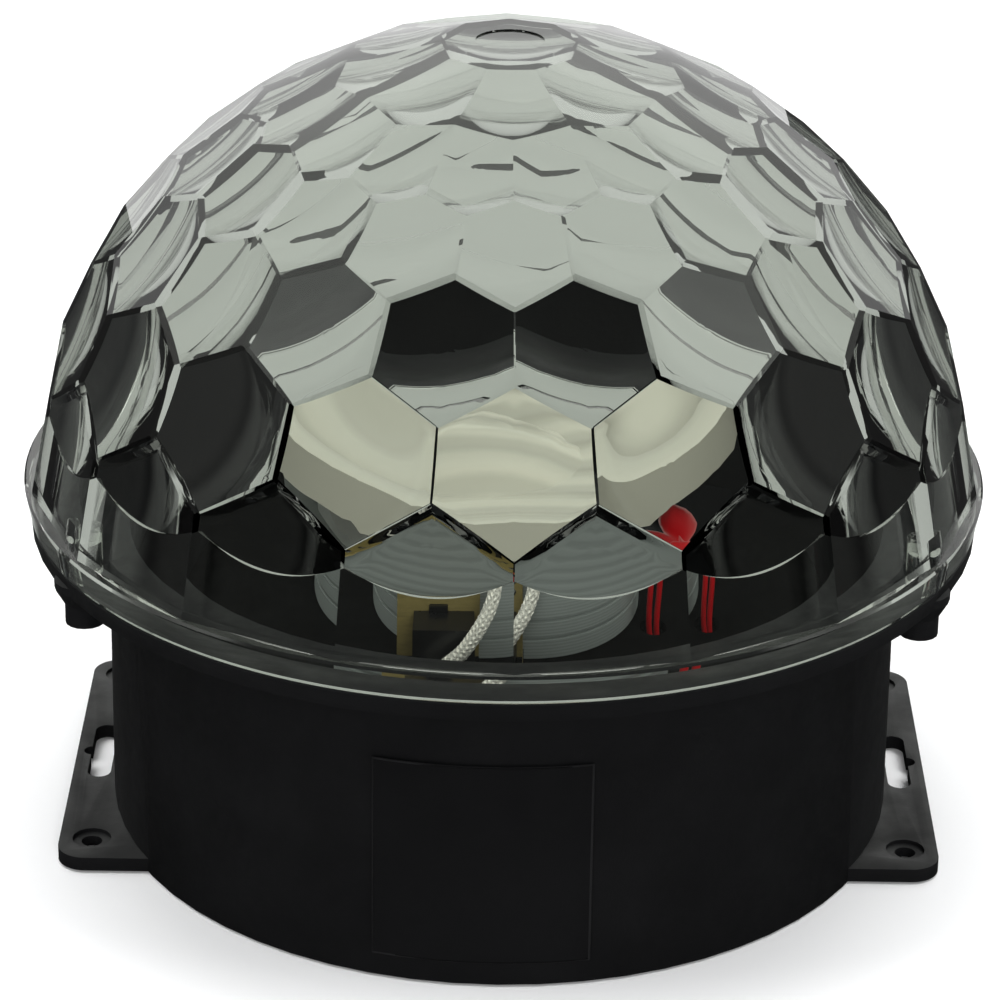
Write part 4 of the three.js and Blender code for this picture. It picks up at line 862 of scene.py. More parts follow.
@dataclass
class RearPanel(SubAssembly):
    """The rear panel with the mains inlet, the rocker switch, the button and the knob.

    Attributes:
        knob_x: The knob's place across the panel in millimetres.
        knob_z: Its height.
        knob_front: The knob's front face along Y.
        knob_reach: Length of the pointer's ink line.
        dial_radius: Radius of the printed dial.
        dial_marks: Number of its marks.
        dial_span: Degrees from its first mark to its last.
        mark_radius: Radius of its first mark.
        mark_growth: How much larger each next mark is.
        print_y: The panel's outer face along Y.
        ink_rise: Thickness of the print.
        pointer_width: Width of the pointer's ink line.
        pointer_thickness: Its thickness.
        pointer_depth: How deep its middle lies behind the knob's front face.
    """

    knob_x: float = 8.0
    knob_z: float = 33.6
    knob_front: float = 81.8
    knob_reach: float = 4.8
    dial_radius: float = 7.4
    dial_marks: int = 11
    dial_span: float = 300.0
    mark_radius: float = 0.32
    mark_growth: float = 0.05
    print_y: float = 72.8
    ink_rise: float = 0.05
    pointer_width: float = 0.8
    pointer_thickness: float = 0.12
    pointer_depth: float = 0.42

    def details(self) -> list[bpy.types.Object]:
        """Print the dial and fill the knob's pointer with ink.

        Returns:
            The new pieces.
        """
        made = []
        for i in range(self.dial_marks):
            turn = math.radians(self.dial_span * (i / (self.dial_marks - 1) - 0.5))
            size = self.mark_radius + self.mark_growth * i
            spot = (self.knob_x + self.dial_radius * math.sin(turn), self.print_y,
                    self.knob_z + self.dial_radius * math.cos(turn))
            made.append(self.button(f"dial_mark_{i + 1}", INK, "rear_panel", spot, size, self.ink_rise, "Y"))
        middle = (self.knob_x, self.knob_front - self.pointer_depth, self.knob_z + self.knob_reach / 2)
        sides = (self.pointer_width, self.pointer_thickness, self.knob_reach)
        made.append(self.block("knob_pointer_ink", INK, "sensitivity_knob", middle, sides))
        return made


@dataclass
class Leads(SubAssembly):
    """The two red leads and the woven sleeve, swept along their routes.

    Attributes:
        red_routes: Points of the red leads in millimetres.
        sleeve_route: Points of the sleeve.
        lead_radius: Radius of a red lead.
        sleeve_radius: Radius of the sleeve over its threads.
        thread_radius: Radius of one thread.
        threads: Threads that wind each way.
        pitch: Length in which a thread winds once round.
        steps: Steps along a red lead.
        thread_steps: Steps along the sleeve and its threads.
        lead_sides: Sides of a lead.
        core_sides: Sides of the core that the threads lie on.
        thread_sides: Sides of a thread.
        thread_bed: Thread radii from the sleeve's outside to a thread's middle.
        thread_lift: Thread radii by which it rises and dips at the crossings.
    """

    red_routes: tuple = (
        ((28.6, -7, 78.2), (33.6, -9, 78.6), (36, -11, 74), (36, -12.5, 60), (35.2, -14.4, 47),
         (37.5, -13.5, 36), (30, -9.5, 28), (26.3, -8.1, 24), (26, -8, 21.8)),
        ((27.4, -10.6, 78.2), (34.6, -13.4, 78.6), (38.2, -15.2, 74), (38.2, -16, 60), (37.2, -17.4, 47),
         (40.5, -14.5, 36), (34.5, -10.5, 28), (29.8, -8.2, 24), (29.4, -8, 21.8)),
    )
    sleeve_route: tuple = (
        (2, -29, 79), (2.8, -37, 78.4), (2, -45, 68), (-5, -50, 59), (-12.5, -51.8, 53.5), (-15, -52, 47),
        (-17, -50, 37), (-22, -43.4, 22), (-23, -41.6, 17), (-23, -41.2, 13),
    )
    lead_radius: float = 0.85
    sleeve_radius: float = 1.75
    thread_radius: float = 0.36
    threads: int = 8
    pitch: float = 9.0
    steps: int = 96
    thread_steps: int = 300
    lead_sides: int = 16
    core_sides: int = 12
    thread_sides: int = 5
    thread_bed: float = 1.2
    thread_lift: float = 0.35
    smooth_degrees: float = 60.0

    def details(self) -> list[bpy.types.Object]:
        """Sweep the leads and weave the sleeve.

        Returns:
            The new pieces.
        """
        made = []
        for i, route in enumerate(self.red_routes):
            form = bmesh.new()
            sweep(form, along(route, self.steps), self.lead_radius, self.lead_sides)
            made.append(self.finish(form, f"red_wire_{i + 1}"))
        path = along(self.sleeve_route, self.thread_steps)
        form = bmesh.new()
        sweep(form, path, self.sleeve_radius - 2 * self.thread_radius, self.core_sides)
        length = sum((b - a).length for a, b in zip(path, path[1:]))
        turns = length / self.pitch
        sides = across(path)
        for way in (1, -1):
            for thread in range(self.threads):
                points = []
                for i, (spot, (right, up)) in enumerate(zip(path, sides)):
                    share = i / (len(path) - 1)
                    angle = way * 2 * math.pi * (share * turns + thread / self.threads)
                    lift = self.thread_lift * way * math.cos(self.threads * 2 * math.pi * share * turns)
                    out = self.sleeve_radius - self.thread_radius * (self.thread_bed - lift)
                    points.append(spot + (right * math.cos(angle) + up * math.sin(angle)) * out)
                sweep(form, points, self.thread_radius, self.thread_sides)
        made.append(self.finish(form, "white_sleeve"))
        return made

    def finish(self, form: Form, node: str) -> bpy.types.Object:
        """Turn a swept form into the piece that stands for its node.

        Args:
            form: The form in millimetres.
            node: The node.

        Returns:
            The piece.
        """
        bmesh.ops.scale(form, vec=(MM, MM, MM), verts=form.verts)
        bmesh.ops.recalc_face_normals(form, faces=form.faces)
        mesh = bpy.data.meshes.new(node)
        form.to_mesh(mesh)
        form.free()
        smooth_by_angle(mesh, self.smooth_degrees)
        return self.stand_for(new_object(f"{node}_swept", mesh, self.materials.of_node(node)), node)


def reach_of(node: str) -> tuple[Vector, Vector]:
    """Measure a node of the frame.

    Args:
        node: Its name.

    Returns:
        Its lowest and highest corner in millimetres.
    """
    piece = frame["nodes"][node]
    corners = [piece.matrix_world @ vertex.co / MM for vertex in piece.data.vertices]
    low, high = [Vector([pick(corner[axis] for corner in corners) for axis in range(3)])
                 for pick in (min, max)]
    return low, high


def along(route: tuple, steps: int) -> list[Vector]:
    """Run a smooth centripetal curve through a route's points.

    Args:
        route: The points.
        steps: Number of steps along the whole curve.

    Returns:
        The points of the curve.
    """
    knots = [Vector(point) for point in route]
    knots = [2 * knots[0] - knots[1], *knots, 2 * knots[-1] - knots[-2]]
    spans = len(knots) - 3
    made = []
    for step in range(steps + 1):
        place = spans * step / steps
        first = min(int(place), spans - 1)
        t = place - first
        a, b, c, d = knots[first:first + 4]
        ab, bc, cd = (math.sqrt((q - p).length) for p, q in ((a, b), (b, c), (c, d)))
        start = ((b - a) / ab - (c - a) / (ab + bc) + (c - b) / bc) * bc
        end = ((c - b) / bc - (d - b) / (bc + cd) + (d - c) / cd) * bc
        square, cube = 3 * (c - b) - 2 * start - end, 2 * (b - c) + start + end
        made.append(b + start * t + square * t**2 + cube * t**3)
    return made


def across(path: list[Vector]) -> list[tuple[Vector, Vector]]:
    """Carry two crossing directions along a path without twist.

    Args:
        path: Its points.

    Returns:
        Two unit directions square to the path at each point.
    """
    ways = [(path[min(i + 1, len(path) - 1)] - path[max(i - 1, 0)]).normalized() for i in range(len(path))]
    right = ways[0].orthogonal().normalized()
    made = []
    for way in ways:
        right = (right - way * right.dot(way)).normalized()
        made.append((right, way.cross(right)))
    return made


def sweep(form: Form, path: list[Vector], radius: float, sides: int) -> None:
    """Add a closed round bar along a path.

    Args:
        form: The mesh under construction.
        path: The points of its middle.
        radius: Its radius.
        sides: Number of its sides.
    """
    rings = []
    for spot, (right, up) in zip(path, across(path)):
        turns = [2 * math.pi * i / sides for i in range(sides)]
        rings.append([form.verts.new(spot + (right * math.cos(t) + up * math.sin(t)) * radius)
                      for t in turns])
    for low, high in zip(rings, rings[1:]):
        for i in range(sides):
            j = (i + 1) % sides
            form.faces.new((low[i], low[j], high[j], high[i]))
    form.faces.new(rings[0][::-1])
    form.faces.new(rings[-1])


@dataclass(frozen=True)
class Facet:
    """One flat facet of the dome, told by where it faces from the dome's centre.

    Attributes:
        latitude: Degrees above the horizon.
        azimuth: Degrees from the front towards +X.
        lowest: Whether it ends on the rim, with a plain skirt under its lens.
    """

    latitude: float
    azimuth: float
    lowest: bool = False

    @property
    def normal(self) -> Vector:
        """The outward direction of the facet."""
        return sky(self.latitude, self.azimuth)


def sky(latitude: float, azimuth: float) -> Vector:
    """Give a direction from the dome's centre.

    Args:
        latitude: Degrees above the horizon.
        azimuth: Degrees from the front towards +X.

    Returns:
        The unit direction.
    """
    level, turn = math.radians(latitude), math.radians(azimuth)
    return Vector((math.cos(level) * math.sin(turn), -math.cos(level) * math.cos(turn), math.sin(level)))


@dataclass
class FacetedDome:
    """The clear dome: flat facets outside, a lens bump behind each, a flange and four pillars.

    Attributes:
        materials: Where the finishes come from.
        reach: Distance of every facet's plane from the dome's centre.
        count: Facets in a row.
        latitudes: Degrees above the horizon of each row, lowest first.
        crown_count: Facets in the row round the pole.
        crown_latitude: Degrees above the horizon of that row.
        turn: Degrees by which all rows are turned.
        centre_rise: Height of the dome's centre over its foot.
        foot_height: Height of the foot.
        foot_slack: Corners less than this over the foot lie on it.
        lens_thickness: Thickness in the middle of a lens bump.
        lens_radius: Radius of its bulge.
        low_lens_latitude: Degrees above the horizon of the lowest bumps' middles.
        wall: Thickness of the skirt under the lowest bumps.
        arc_height: Height over the foot of the arc under a lowest bump.
        arc_sag: How much higher the arc ends than its middle.
        rings: Rings of faces on a bump.
        edge_steps: Steps along each side of a bump.
        arc_steps: Steps along an arc.
        side_steps: Steps between two lowest bumps.
        blend_from: Share of a lowest bump's width from which it bends to meet its neighbours.
        weld: Corners closer than this are one corner.
        smooth_degrees: Edges that turn by less than this are shaded as one round.
        flange_radii: The flange's radius at its foot, over its lip, under its brow and on top.
        flange_height: Height of the flange.
        flange_lip: Height of the lip's slant.
        flange_brow: Height of the brow's slant.
        flange_root_share: Share of the wall that the flange leaves bare inside.
        flange_inset: How far the skin stays behind the flange's face.
        round_sides: Sides of the flange.
        pillar_angles: Degrees from the front of each screw pillar.
        pillar_circle: Radius of the circle that they stand on.
        pillar_radius: Radius of a pillar.
        pillar_height: Height of a pillar.
        pillar_chamfer: Slant of its upper edge.
        pillar_sides: Sides of a pillar.
        pilot_radius: Radius of its screw hole.
        pilot_depth: Depth of its screw hole.
        gate_radius: Radius of the round mark on the crown.
        gate_depth: Depth of that mark.
        gate_sides: Sides of that mark.
        overrun: How far a cutting body stands out of what it cuts.
        facets: All facets, filled in by build.
    """

    materials: Materials
    reach: float = 96.2
    count: int = 18
    latitudes: tuple[float, ...] = (10.9, 25.1, 39.4, 52.0, 63.2)
    crown_count: int = 9
    crown_latitude: float = 74.5
    turn: float = 1.3
    centre_rise: float = 2.4
    foot_height: float = 71.4
    foot_slack: float = 0.001
    lens_thickness: float = 5.6
    lens_radius: float = 50.0
    low_lens_latitude: float = 16.0
    wall: float = 2.6
    arc_height: float = 18.5
    arc_sag: float = 4.2
    rings: int = 12
    edge_steps: int = 7
    arc_steps: int = 18
    side_steps: int = 5
    blend_from: float = 0.7
    weld: float = 0.002
    smooth_degrees: float = 12.0
    flange_radii: tuple[float, ...] = (98.6, 98.9, 99.9, 99.5)
    flange_height: float = 6.2
    flange_lip: float = 0.3
    flange_brow: float = 0.5
    flange_root_share: float = 0.35
    flange_inset: float = 0.05
    round_sides: int = 216
    pillar_angles: tuple[float, ...] = (63.5, 116.5, 243.5, 296.5)
    pillar_circle: float = 94.0
    pillar_radius: float = 3.1
    pillar_height: float = 10.0
    pillar_chamfer: float = 0.4
    pillar_sides: int = 32
    pilot_radius: float = 1.8
    pilot_depth: float = 6.3
    gate_radius: float = 7.0
    gate_depth: float = 0.3
    gate_sides: int = 48
    overrun: float = 1.0
    facets: list[Facet] = field(default_factory=list)

    def build(self) -> bpy.types.Object:
        """Make the dome.

        Returns:
            The piece that stands for the frame's dome.
        """
        self.facets = self.all_facets()
        mesh = bpy.data.meshes.new("dome_skin")
        with editing(mesh) as form:
            for facet in self.facets:
                corners = self.corners(facet)
                outline = [*self.rim(corners), *corners[1:]] if facet.lowest else corners
                form.faces.new([form.verts.new(corner) for corner in outline])
                add = self.add_low_lens if facet.lowest else self.add_lens
                add(form, facet, corners)
            bmesh.ops.remove_doubles(form, verts=form.verts, dist=self.weld)
            bmesh.ops.recalc_face_normals(form, faces=form.faces)
            bmesh.ops.scale(form, vec=(MM, MM, MM), verts=form.verts)
            rise = (self.foot_height + self.centre_rise) * MM
            bmesh.ops.translate(form, vec=(0, 0, rise), verts=form.verts)
        piece = new_object("dome_lens_facets", mesh, self.materials.of(CLEAR))
        self.join_rim(piece)
        smooth_by_angle(piece.data, self.smooth_degrees)
        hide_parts("faceted_dome")
        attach(piece, "housing")
        return piece

    def all_facets(self) -> list[Facet]:
        """List the facets, each row staggered by half a step from the one below.

        Returns:
            All facets, with the pole's own last.
        """
        step = 360 / self.count
        facets = [Facet(latitude, self.turn + (i + 0.5 * (row % 2 == 0)) * step, row == 0)
                  for row, latitude in enumerate(self.latitudes) for i in range(self.count)]
        facets += [Facet(self.crown_latitude, self.turn + i * 360 / self.crown_count)
                   for i in range(self.crown_count)]
        return [*facets, Facet(90.0, 0.0)]

    def corners(self, facet: Facet) -> list[Vector]:
        """Cut a facet's outline from its plane by its neighbours' planes.

        Args:
            facet: The facet.

        Returns:
            Its corners about the dome's centre; on the lowest row the foot edge comes first.
        """
        normal = facet.normal
        east = sky(0, facet.azimuth + 90)
        north = normal.cross(east)
        middle = normal * self.reach
        outline = [middle + east * (a * self.reach) + north * (b * self.reach)
                   for a, b in ((-1, -1), (1, -1), (1, 1), (-1, 1))]
        for other in self.facets:
            if other is not facet:
                outline = self.cut(outline, other.normal, self.reach)
        outline = self.cut(outline, Vector((0, 0, -1)), self.centre_rise)
        if not facet.lowest:
            return outline
        low = [corner.z < self.foot_slack - self.centre_rise for corner in outline]
        first = next(i for i in range(len(low)) if low[i] and low[(i + 1) % len(low)])
        return outline[first:] + outline[:first]

    @staticmethod
    def cut(outline: list[Vector], normal: Vector, reach: float) -> list[Vector]:
        """Keep the inner side of a plane.

        Args:
            outline: The corners in order.
            normal: The plane's outward normal.
            reach: The plane's distance from the centre.

        Returns:
            The corners of what is kept.
        """
        kept = []
        for i, start in enumerate(outline):
            end = outline[(i + 1) % len(outline)]
            a, b = start.dot(normal) - reach, end.dot(normal) - reach
            if a <= ON_PLANE:
                kept.append(start)
            if (a < -ON_PLANE and b > ON_PLANE) or (a > ON_PLANE and b < -ON_PLANE):
                kept.append(start.lerp(end, a / (a - b)))
        return kept

    def lens(self, facet: Facet, way: Vector) -> Vector:
        """Give the point of the lens bump behind a facet in one direction.

        Args:
            facet: The facet.
            way: The direction from the dome's centre.

        Returns:
            The point.
        """
        far = self.reach - self.lens_thickness + self.lens_radius
        along = far * facet.normal.dot(way)
        return way * (along - math.sqrt(self.lens_radius**2 - far**2 + along**2))

    def low_lens(self, facet: Facet, way: Vector) -> Vector:
        """Give the same on the lowest row, whose bump has its middle above the facet's.

        Args:
            facet: The facet.
            way: The direction from the dome's centre.

        Returns:
            The point.
        """
        apart = (way - sky(self.low_lens_latitude, facet.azimuth)).length * self.reach
        thinner = self.lens_radius - math.sqrt(self.lens_radius**2 - apart**2)
        return way * (self.reach / facet.normal.dot(way) - self.lens_thickness + thinner)

    def skirt(self, azimuth: float, height: float) -> Vector:
        """Give a point of the plain inner wall under the lowest lenses.

        Args:
            azimuth: Degrees from the front.
            height: Height from the dome's centre.

        Returns:
            The point.
        """
        slope = math.radians(self.latitudes[0])
        radius = (self.reach - self.wall - height * math.sin(slope)) / math.cos(slope)
        point = sky(0, azimuth) * radius
        return Vector((point.x, point.y, height))

    def rim(self, corners: list[Vector]) -> list[Vector]:
        """Cut the foot edge of a lowest facet into the arc's steps.

        Args:
            corners: The facet's corners, foot edge first.

        Returns:
            The points of the edge, without its end.
        """
        return [corners[0].lerp(corners[1], i / self.arc_steps) for i in range(self.arc_steps)]

    def edge_ways(self, start: Vector, end: Vector, steps: int) -> list[Vector]:
        """Give the directions along an edge, without its end.

        Args:
            start: The first corner.
            end: The last corner.
            steps: How many pieces the edge is cut into.

        Returns:
            The unit directions.
        """
        return [start.lerp(end, i / steps).normalized() for i in range(steps)]

    def add_lens(self, form: Form, facet: Facet, corners: list[Vector]) -> None:
        """Add the bump behind an ordinary facet as rings of quads.

        Args:
            form: The mesh under construction.
            facet: The facet.
            corners: Its corners.
        """
        border = []
        for i, corner in enumerate(corners):
            border += self.edge_ways(corner, corners[(i + 1) % len(corners)], self.edge_steps)
        rows = []
        for ring in range(1, self.rings + 1):
            share = ring / self.rings
            rows.append([self.lens(facet, facet.normal.lerp(way, share).normalized()) for way in border])
        self.add_rings(form, self.lens(facet, facet.normal), rows)

    def add_rings(self, form: Form, middle: Vector, rows: list[list[Vector]]) -> None:
        """Add a dish of faces from a middle through closed rows of points.

        Args:
            form: The mesh under construction.
            middle: The middle point.
            rows: The rings, from the innermost.
        """
        centre = form.verts.new(middle)
        old = None
        for row in rows:
            new = [form.verts.new(point) for point in row]
            for i in range(len(new)):
                j = (i + 1) % len(new)
                if old is None:
                    form.faces.new((centre, new[j], new[i]))
                else:
                    form.faces.new((old[i], old[j], new[j], new[i]))
            old = new

    def add_low_lens(self, form: Form, facet: Facet, corners: list[Vector]) -> None:
        """Add the lowest row's bump, the step at its arc and the skirt under it.

        Args:
            form: The mesh under construction.
            facet: The facet.
            corners: Its corners, foot edge first.
        """
        half = 180 / self.count
        sides = [2 * i / self.arc_steps - 1 for i in range(self.arc_steps + 1)]
        level = self.arc_height - self.centre_rise
        arc = [self.skirt(facet.azimuth + side * half, level + self.arc_sag * side**2) for side in sides]
        upper = corners[2:]
        border = [(way.normalized(), self.low_lens(facet, way.normalized())) for way in arc[:-1]]
        border += self.side_border(facet, arc[-1], upper[0], rising=True)
        for i in range(len(upper) - 1):
            ways = self.edge_ways(upper[i], upper[i + 1], self.edge_steps)
            border += [(way, self.lens(facet, way)) for way in ways]
        border += self.side_border(facet, upper[-1], arc[0], rising=False)
        middle = sky(self.low_lens_latitude, facet.azimuth)
        rows = []
        for ring in range(1, self.rings + 1):
            share = ring / self.rings
            mix = max(0.0, (share - self.blend_from) / (1 - self.blend_from))
            mix = mix * mix * (3 - 2 * mix)
            row = []
            for way, goal in border:
                here = middle.lerp(way, share).normalized()
                extra = goal.length - self.low_lens(facet, way).length
                row.append(self.low_lens(facet, here) + here * (extra * mix))
            rows.append(row)
        self.add_rings(form, self.low_lens(facet, middle), rows)
        foot = [self.skirt(facet.azimuth + side * half, -self.centre_rise) for side in sides]
        rim = [*self.rim(corners), corners[1]]
        edge = [self.low_lens(facet, point.normalized()) for point in arc]
        for low, high in ((arc, edge), (foot, arc), (rim, foot)):
            a, b = [form.verts.new(point) for point in low], [form.verts.new(point) for point in high]
            for i in range(len(a) - 1):
                form.faces.new((a[i], a[i + 1], b[i + 1], b[i]))

    def side_border(self, facet: Facet, start: Vector, end: Vector,
                    rising: bool) -> list[tuple[Vector, Vector]]:
        """Give the border between two bumps of the lowest row, from the arc to the corner or back.

        Args:
            facet: The facet.
            start: The first point.
            end: The last point.
            rising: Whether it runs upwards.

        Returns:
            Directions and the points that the bump meets there, without the end.
        """
        made = []
        for i in range(self.side_steps):
            share = i / self.side_steps
            way = start.lerp(end, share).normalized()
            up = share if rising else 1 - share
            made.append((way, self.low_lens(facet, way).lerp(self.lens(facet, way), up)))
        return made

    def join_rim(self, piece: bpy.types.Object) -> None:
        """Join the flange and the screw pillars to the skin, bore the pillars and sink the gate mark.

        Args:
            piece: The skin, which becomes the whole dome.
        """
        root = self.skirt(0, -self.centre_rise).xy.length + self.flange_root_share * self.wall
        low, high = self.foot_height, self.foot_height + self.flange_height
        lip, brow = low + self.flange_lip, high - self.flange_brow
        foot, lower, upper, top = self.flange_radii
        flange = [(root, low), (foot, low), (lower, lip), (upper, brow), (top, high), (root, high)]
        inset, far, under = self.flange_inset, upper + 5 * self.overrun, low - self.overrun
        beyond = [(foot - inset, under), (far, under), (far, brow), (upper - inset, brow),
                  (lower - inset, lip), (foot - inset, low)]
        tools = [(turned_mesh("trim", beyond, self.round_sides), "DIFFERENCE"),
                 (turned_mesh("flange", flange, self.round_sides), "UNION")]
        end, bore, edge = low + self.pillar_height, low + self.pilot_depth, self.pillar_chamfer
        pillar = [(0, low), (self.pillar_radius, low), (self.pillar_radius, end - edge),
                  (self.pillar_radius - edge, end), (0, end)]
        pilot = [(0, under), (self.pilot_radius, under), (self.pilot_radius, bore), (0, bore)]
        for outline, operation in ((pillar, "UNION"), (pilot, "DIFFERENCE")):
            for angle in self.pillar_angles:
                post = turned_mesh("pillar", outline, self.pillar_sides)
                post.transform(Matrix.Translation(sky(0, angle) * self.pillar_circle * MM))
                tools.append((post, operation))
        crown = low + self.centre_rise + self.reach
        sink, above = crown - self.gate_depth, crown + self.overrun
        gate = [(0, sink), (self.gate_radius, sink), (self.gate_radius, above), (0, above)]
        tools.append((turned_mesh("gate", gate, self.gate_sides), "DIFFERENCE"))
        for mesh, operation in tools:
            tool = bpy.data.objects.new("tool", mesh)
            bpy.context.scene.collection.objects.link(tool)
            join = piece.modifiers.new("join", "BOOLEAN")
            join.operation, join.solver, join.object = operation, "MANIFOLD", tool
            apply_modifiers(piece)
            bpy.data.objects.remove(tool)


def turned_mesh(name: str, outline: list[tuple[float, float]], sides: int) -> bpy.types.Mesh:
    """Turn a closed outline round the Z axis.

    Args:
        name: The mesh's name.
        outline: Radius and height of each corner in millimetres, anticlockwise seen with Z up.
        sides: How many sides the round has.

    Returns:
        The closed mesh, in metres.
    """
    mesh = bpy.data.meshes.new(name)
    turns = [2 * math.pi * i / sides for i in range(sides)]
    with editing(mesh) as form:
        rings = []
        for radius, height in outline:
            spots = [(0, 0)] if radius < ON_AXIS else [
                (radius * MM * math.cos(turn), radius * MM * math.sin(turn)) for turn in turns]
            rings.append([form.verts.new((x, y, height * MM)) for x, y in spots])
        for low, high in zip(rings, rings[1:] + rings[:1]):
            for i in range(sides):
                j = (i + 1) % sides
                corners = [low[i % len(low)], low[j % len(low)], high[j % len(high)], high[i % len(high)]]
                distinct = list(dict.fromkeys(corners))
                if len(distinct) > 2:
                    form.faces.new(distinct)
        bmesh.ops.recalc_face_normals(form, faces=form.faces)
    return mesh


def level_sheet(name: str, half_width: float, front: float, rear: float) -> bpy.types.Mesh:
    """Make a level rectangle at the height of the part's feet.

    Args:
        name: The mesh's name.
        half_width: Half its width in metres.
        front: Its front edge along Y.
        rear: Its rear edge.

    Returns:
        The mesh.
    """
    x = half_width
    mesh = bpy.data.meshes.new(name)
    mesh.from_pydata([(-x, front, 0), (x, front, 0), (x, rear, 0), (-x, rear, 0)], [], [(0, 1, 2, 3)])
    return mesh


@dataclass(frozen=True)
class SoftBox:
    """One soft light that looks at the part.

    Attributes:
        name: The light's name.
        place: Its middle in metres.
        width: Its width.
        height: Its height.
        power: Its power in watts.
    """

    name: str
    place: tuple[float, float, float]
    width: float
    height: float
    power: float


@dataclass
class Studio:
    """The pale table, the soft lights, the surround and the camera.

    The camera sees a white table that runs into white. Mirror images in the dome show a dark room before the
    part and a pale one behind it, and rays through its lenses meet a dark sheet at the part's feet that
    nothing else sees.

    Attributes:
        half_width: Half the table's width in metres.
        front: Its front edge.
        rear: Its rear edge.
        sheet_half_width: Half the width of the dark sheet that only rays through the dome meet.
        sheet_front: Its front edge.
        sheet_rear: Its rear edge.
        paper_roughness: Roughness of the table's top.
        paper_specular: Its reflectivity setting.
        strip_side: Distances from the middle between which the table's pale strip, which only
            mirror images show, fades out.
        strip_start: Places along Y between which that strip sets in.
        strip_tones: sRGB hex colours of the mirrored table, beside the strip and on it.
        room_turn: A direction's Y values between which the mirrored room turns from dim to bright.
        room_levels: How strong it is at each.
        room_colours: Marks and linear colours of the mirrored room, from the horizon up.
        glow_turn: Y values between which its far end brightens.
        glow_level: How much brighter that end is.
        bent_turn: Y values over which the view through the dome runs from front to rear.
        bent_colours: Marks and linear colours of that view, front first.
        fill: sRGB hex colour of the light from all round.
        fill_level: How strong it is.
        boxes: The soft lights.
        aim_height: Height that they look at.
        sensor_width: Width of the camera's sensor in millimetres.
        focal_length: Focal length in millimetres.
        camera_place: The camera's place.
        camera_fall: Degrees by which it looks down.
        camera_roll: Degrees by which it is turned.
    """

    half_width: float = 0.9
    front: float = -0.2
    rear: float = 0.9
    sheet_half_width: float = 0.12
    sheet_front: float = -0.22
    sheet_rear: float = 0.22
    paper_roughness: float = 0.9
    paper_specular: float = 0.1
    strip_side: tuple[float, float] = (0.15, 0.19)
    strip_start: tuple[float, float] = (0.10, 0.15)
    strip_tones: tuple[str, str] = ("2c2c2c", "c8cbc6")
    room_turn: tuple[float, float] = (-0.30, -0.18)
    room_levels: tuple[float, float] = (0.02, 1.8)
    room_colours: tuple[tuple[float, tuple], ...] = (
        (0.0, (0.05, 0.05, 0.05, 1.0)), (0.30, (0.16, 0.165, 0.155, 1.0)), (0.50, (0.55, 0.56, 0.53, 1.0)),
        (0.65, (0.96, 1.0, 0.93, 1.0)),
    )
    glow_turn: tuple[float, float] = (0.5, 0.8)
    glow_level: float = 0.5
    bent_turn: tuple[float, float] = (-0.2, 0.2)
    bent_colours: tuple[tuple[float, tuple], ...] = (
        (0.0, (0.15, 0.154, 0.147, 1.0)), (0.4, (0.01, 0.01, 0.01, 1.0)), (0.5, (0.01, 0.01, 0.01, 1.0)),
        (1.0, (0.475, 0.50, 0.47, 1.0)),
    )
    fill: str = "f4f7fa"
    fill_level: float = 0.35
    boxes: tuple[SoftBox, ...] = (
        SoftBox("left_box", (-0.9, -0.25, 1.5), 0.7, 0.7, 12.0),
        SoftBox("right_box", (0.9, -0.3, 1.45), 0.7, 0.7, 11.0),
        SoftBox("top_box", (0.0, 0.35, 1.5), 1.5, 1.1, 20.0),
        SoftBox("front_box", (0.1, -1.3, 0.55), 0.6, 0.5, 9.0),
    )
    aim_height: float = 0.09
    sensor_width: float = 36.0
    focal_length: float = 150.23
    camera_place: tuple[float, float, float] = (-0.00071, -0.7988, 0.4320)
    camera_fall: float = 24.45
    camera_roll: float = 0.82

    def build(self) -> None:
        """Make the studio."""
        self.floor()
        self.lay_dark_sheet()
        self.world()
        self.lights()
        self.camera()
        bpy.context.scene.view_settings.view_transform = "Standard"

    def floor(self) -> None:
        """Lay the table's white top."""
        mesh = level_sheet("studio_table", self.half_width, self.front, self.rear)
        material = bpy.data.materials.new("studio_table_paper")
        material.use_nodes = True
        tree = material.node_tree
        shader = tree.nodes["Principled BSDF"]
        shader.inputs["Roughness"].default_value = self.paper_roughness
        shader.inputs["Specular IOR Level"].default_value = self.paper_specular
        path = add_node(tree, "ShaderNodeLightPath")
        spot = add_node(tree, "ShaderNodeSeparateXYZ", {
            "Vector": add_node(tree, "ShaderNodeTexCoord").outputs["Object"],
        })
        beside = add_node(tree, "ShaderNodeMath", {0: spot.outputs["X"]}, operation="ABSOLUTE")
        inside = remap(tree, beside.outputs["Value"], self.strip_side, (1.0, 0.0))
        behind = remap(tree, spot.outputs["Y"], self.strip_start)
        strip = add_node(tree, "ShaderNodeMath", {0: inside, 1: behind}, operation="MULTIPLY")
        dark, pale = map(srgb, self.strip_tones)
        mirrored = ramp(tree, strip.outputs["Value"], [(0.0, dark), (1.0, pale)])
        tree.links.new(add_node(tree, "ShaderNodeMixRGB", {
            "Fac": path.outputs["Is Glossy Ray"], "Color1": srgb("fafafa"), "Color2": mirrored,
        }).outputs["Color"], shader.inputs["Base Color"])
        table = new_object("studio_table", mesh, material)
        table.visible_transmission = False

    def lay_dark_sheet(self) -> None:
        """Lay a dark sheet at the part's feet that only rays through the dome meet, so that the lenses show
        dark there.
        """
        mesh = level_sheet("studio_dark_sheet_for_lenses", self.sheet_half_width, self.sheet_front, self.sheet_rear)
        material = bpy.data.materials.new("studio_lens_view_black")
        material.use_nodes = True
        shader = material.node_tree.nodes["Principled BSDF"]
        shader.inputs["Base Color"].default_value = srgb("0c0c0c")
        shader.inputs["Specular IOR Level"].default_value = 0.0
        lens_only_sheet = new_object("studio_dark_sheet_for_lenses", mesh, material)
        lens_only_sheet.visible_camera = lens_only_sheet.visible_diffuse = lens_only_sheet.visible_glossy = lens_only_sheet.visible_shadow = False

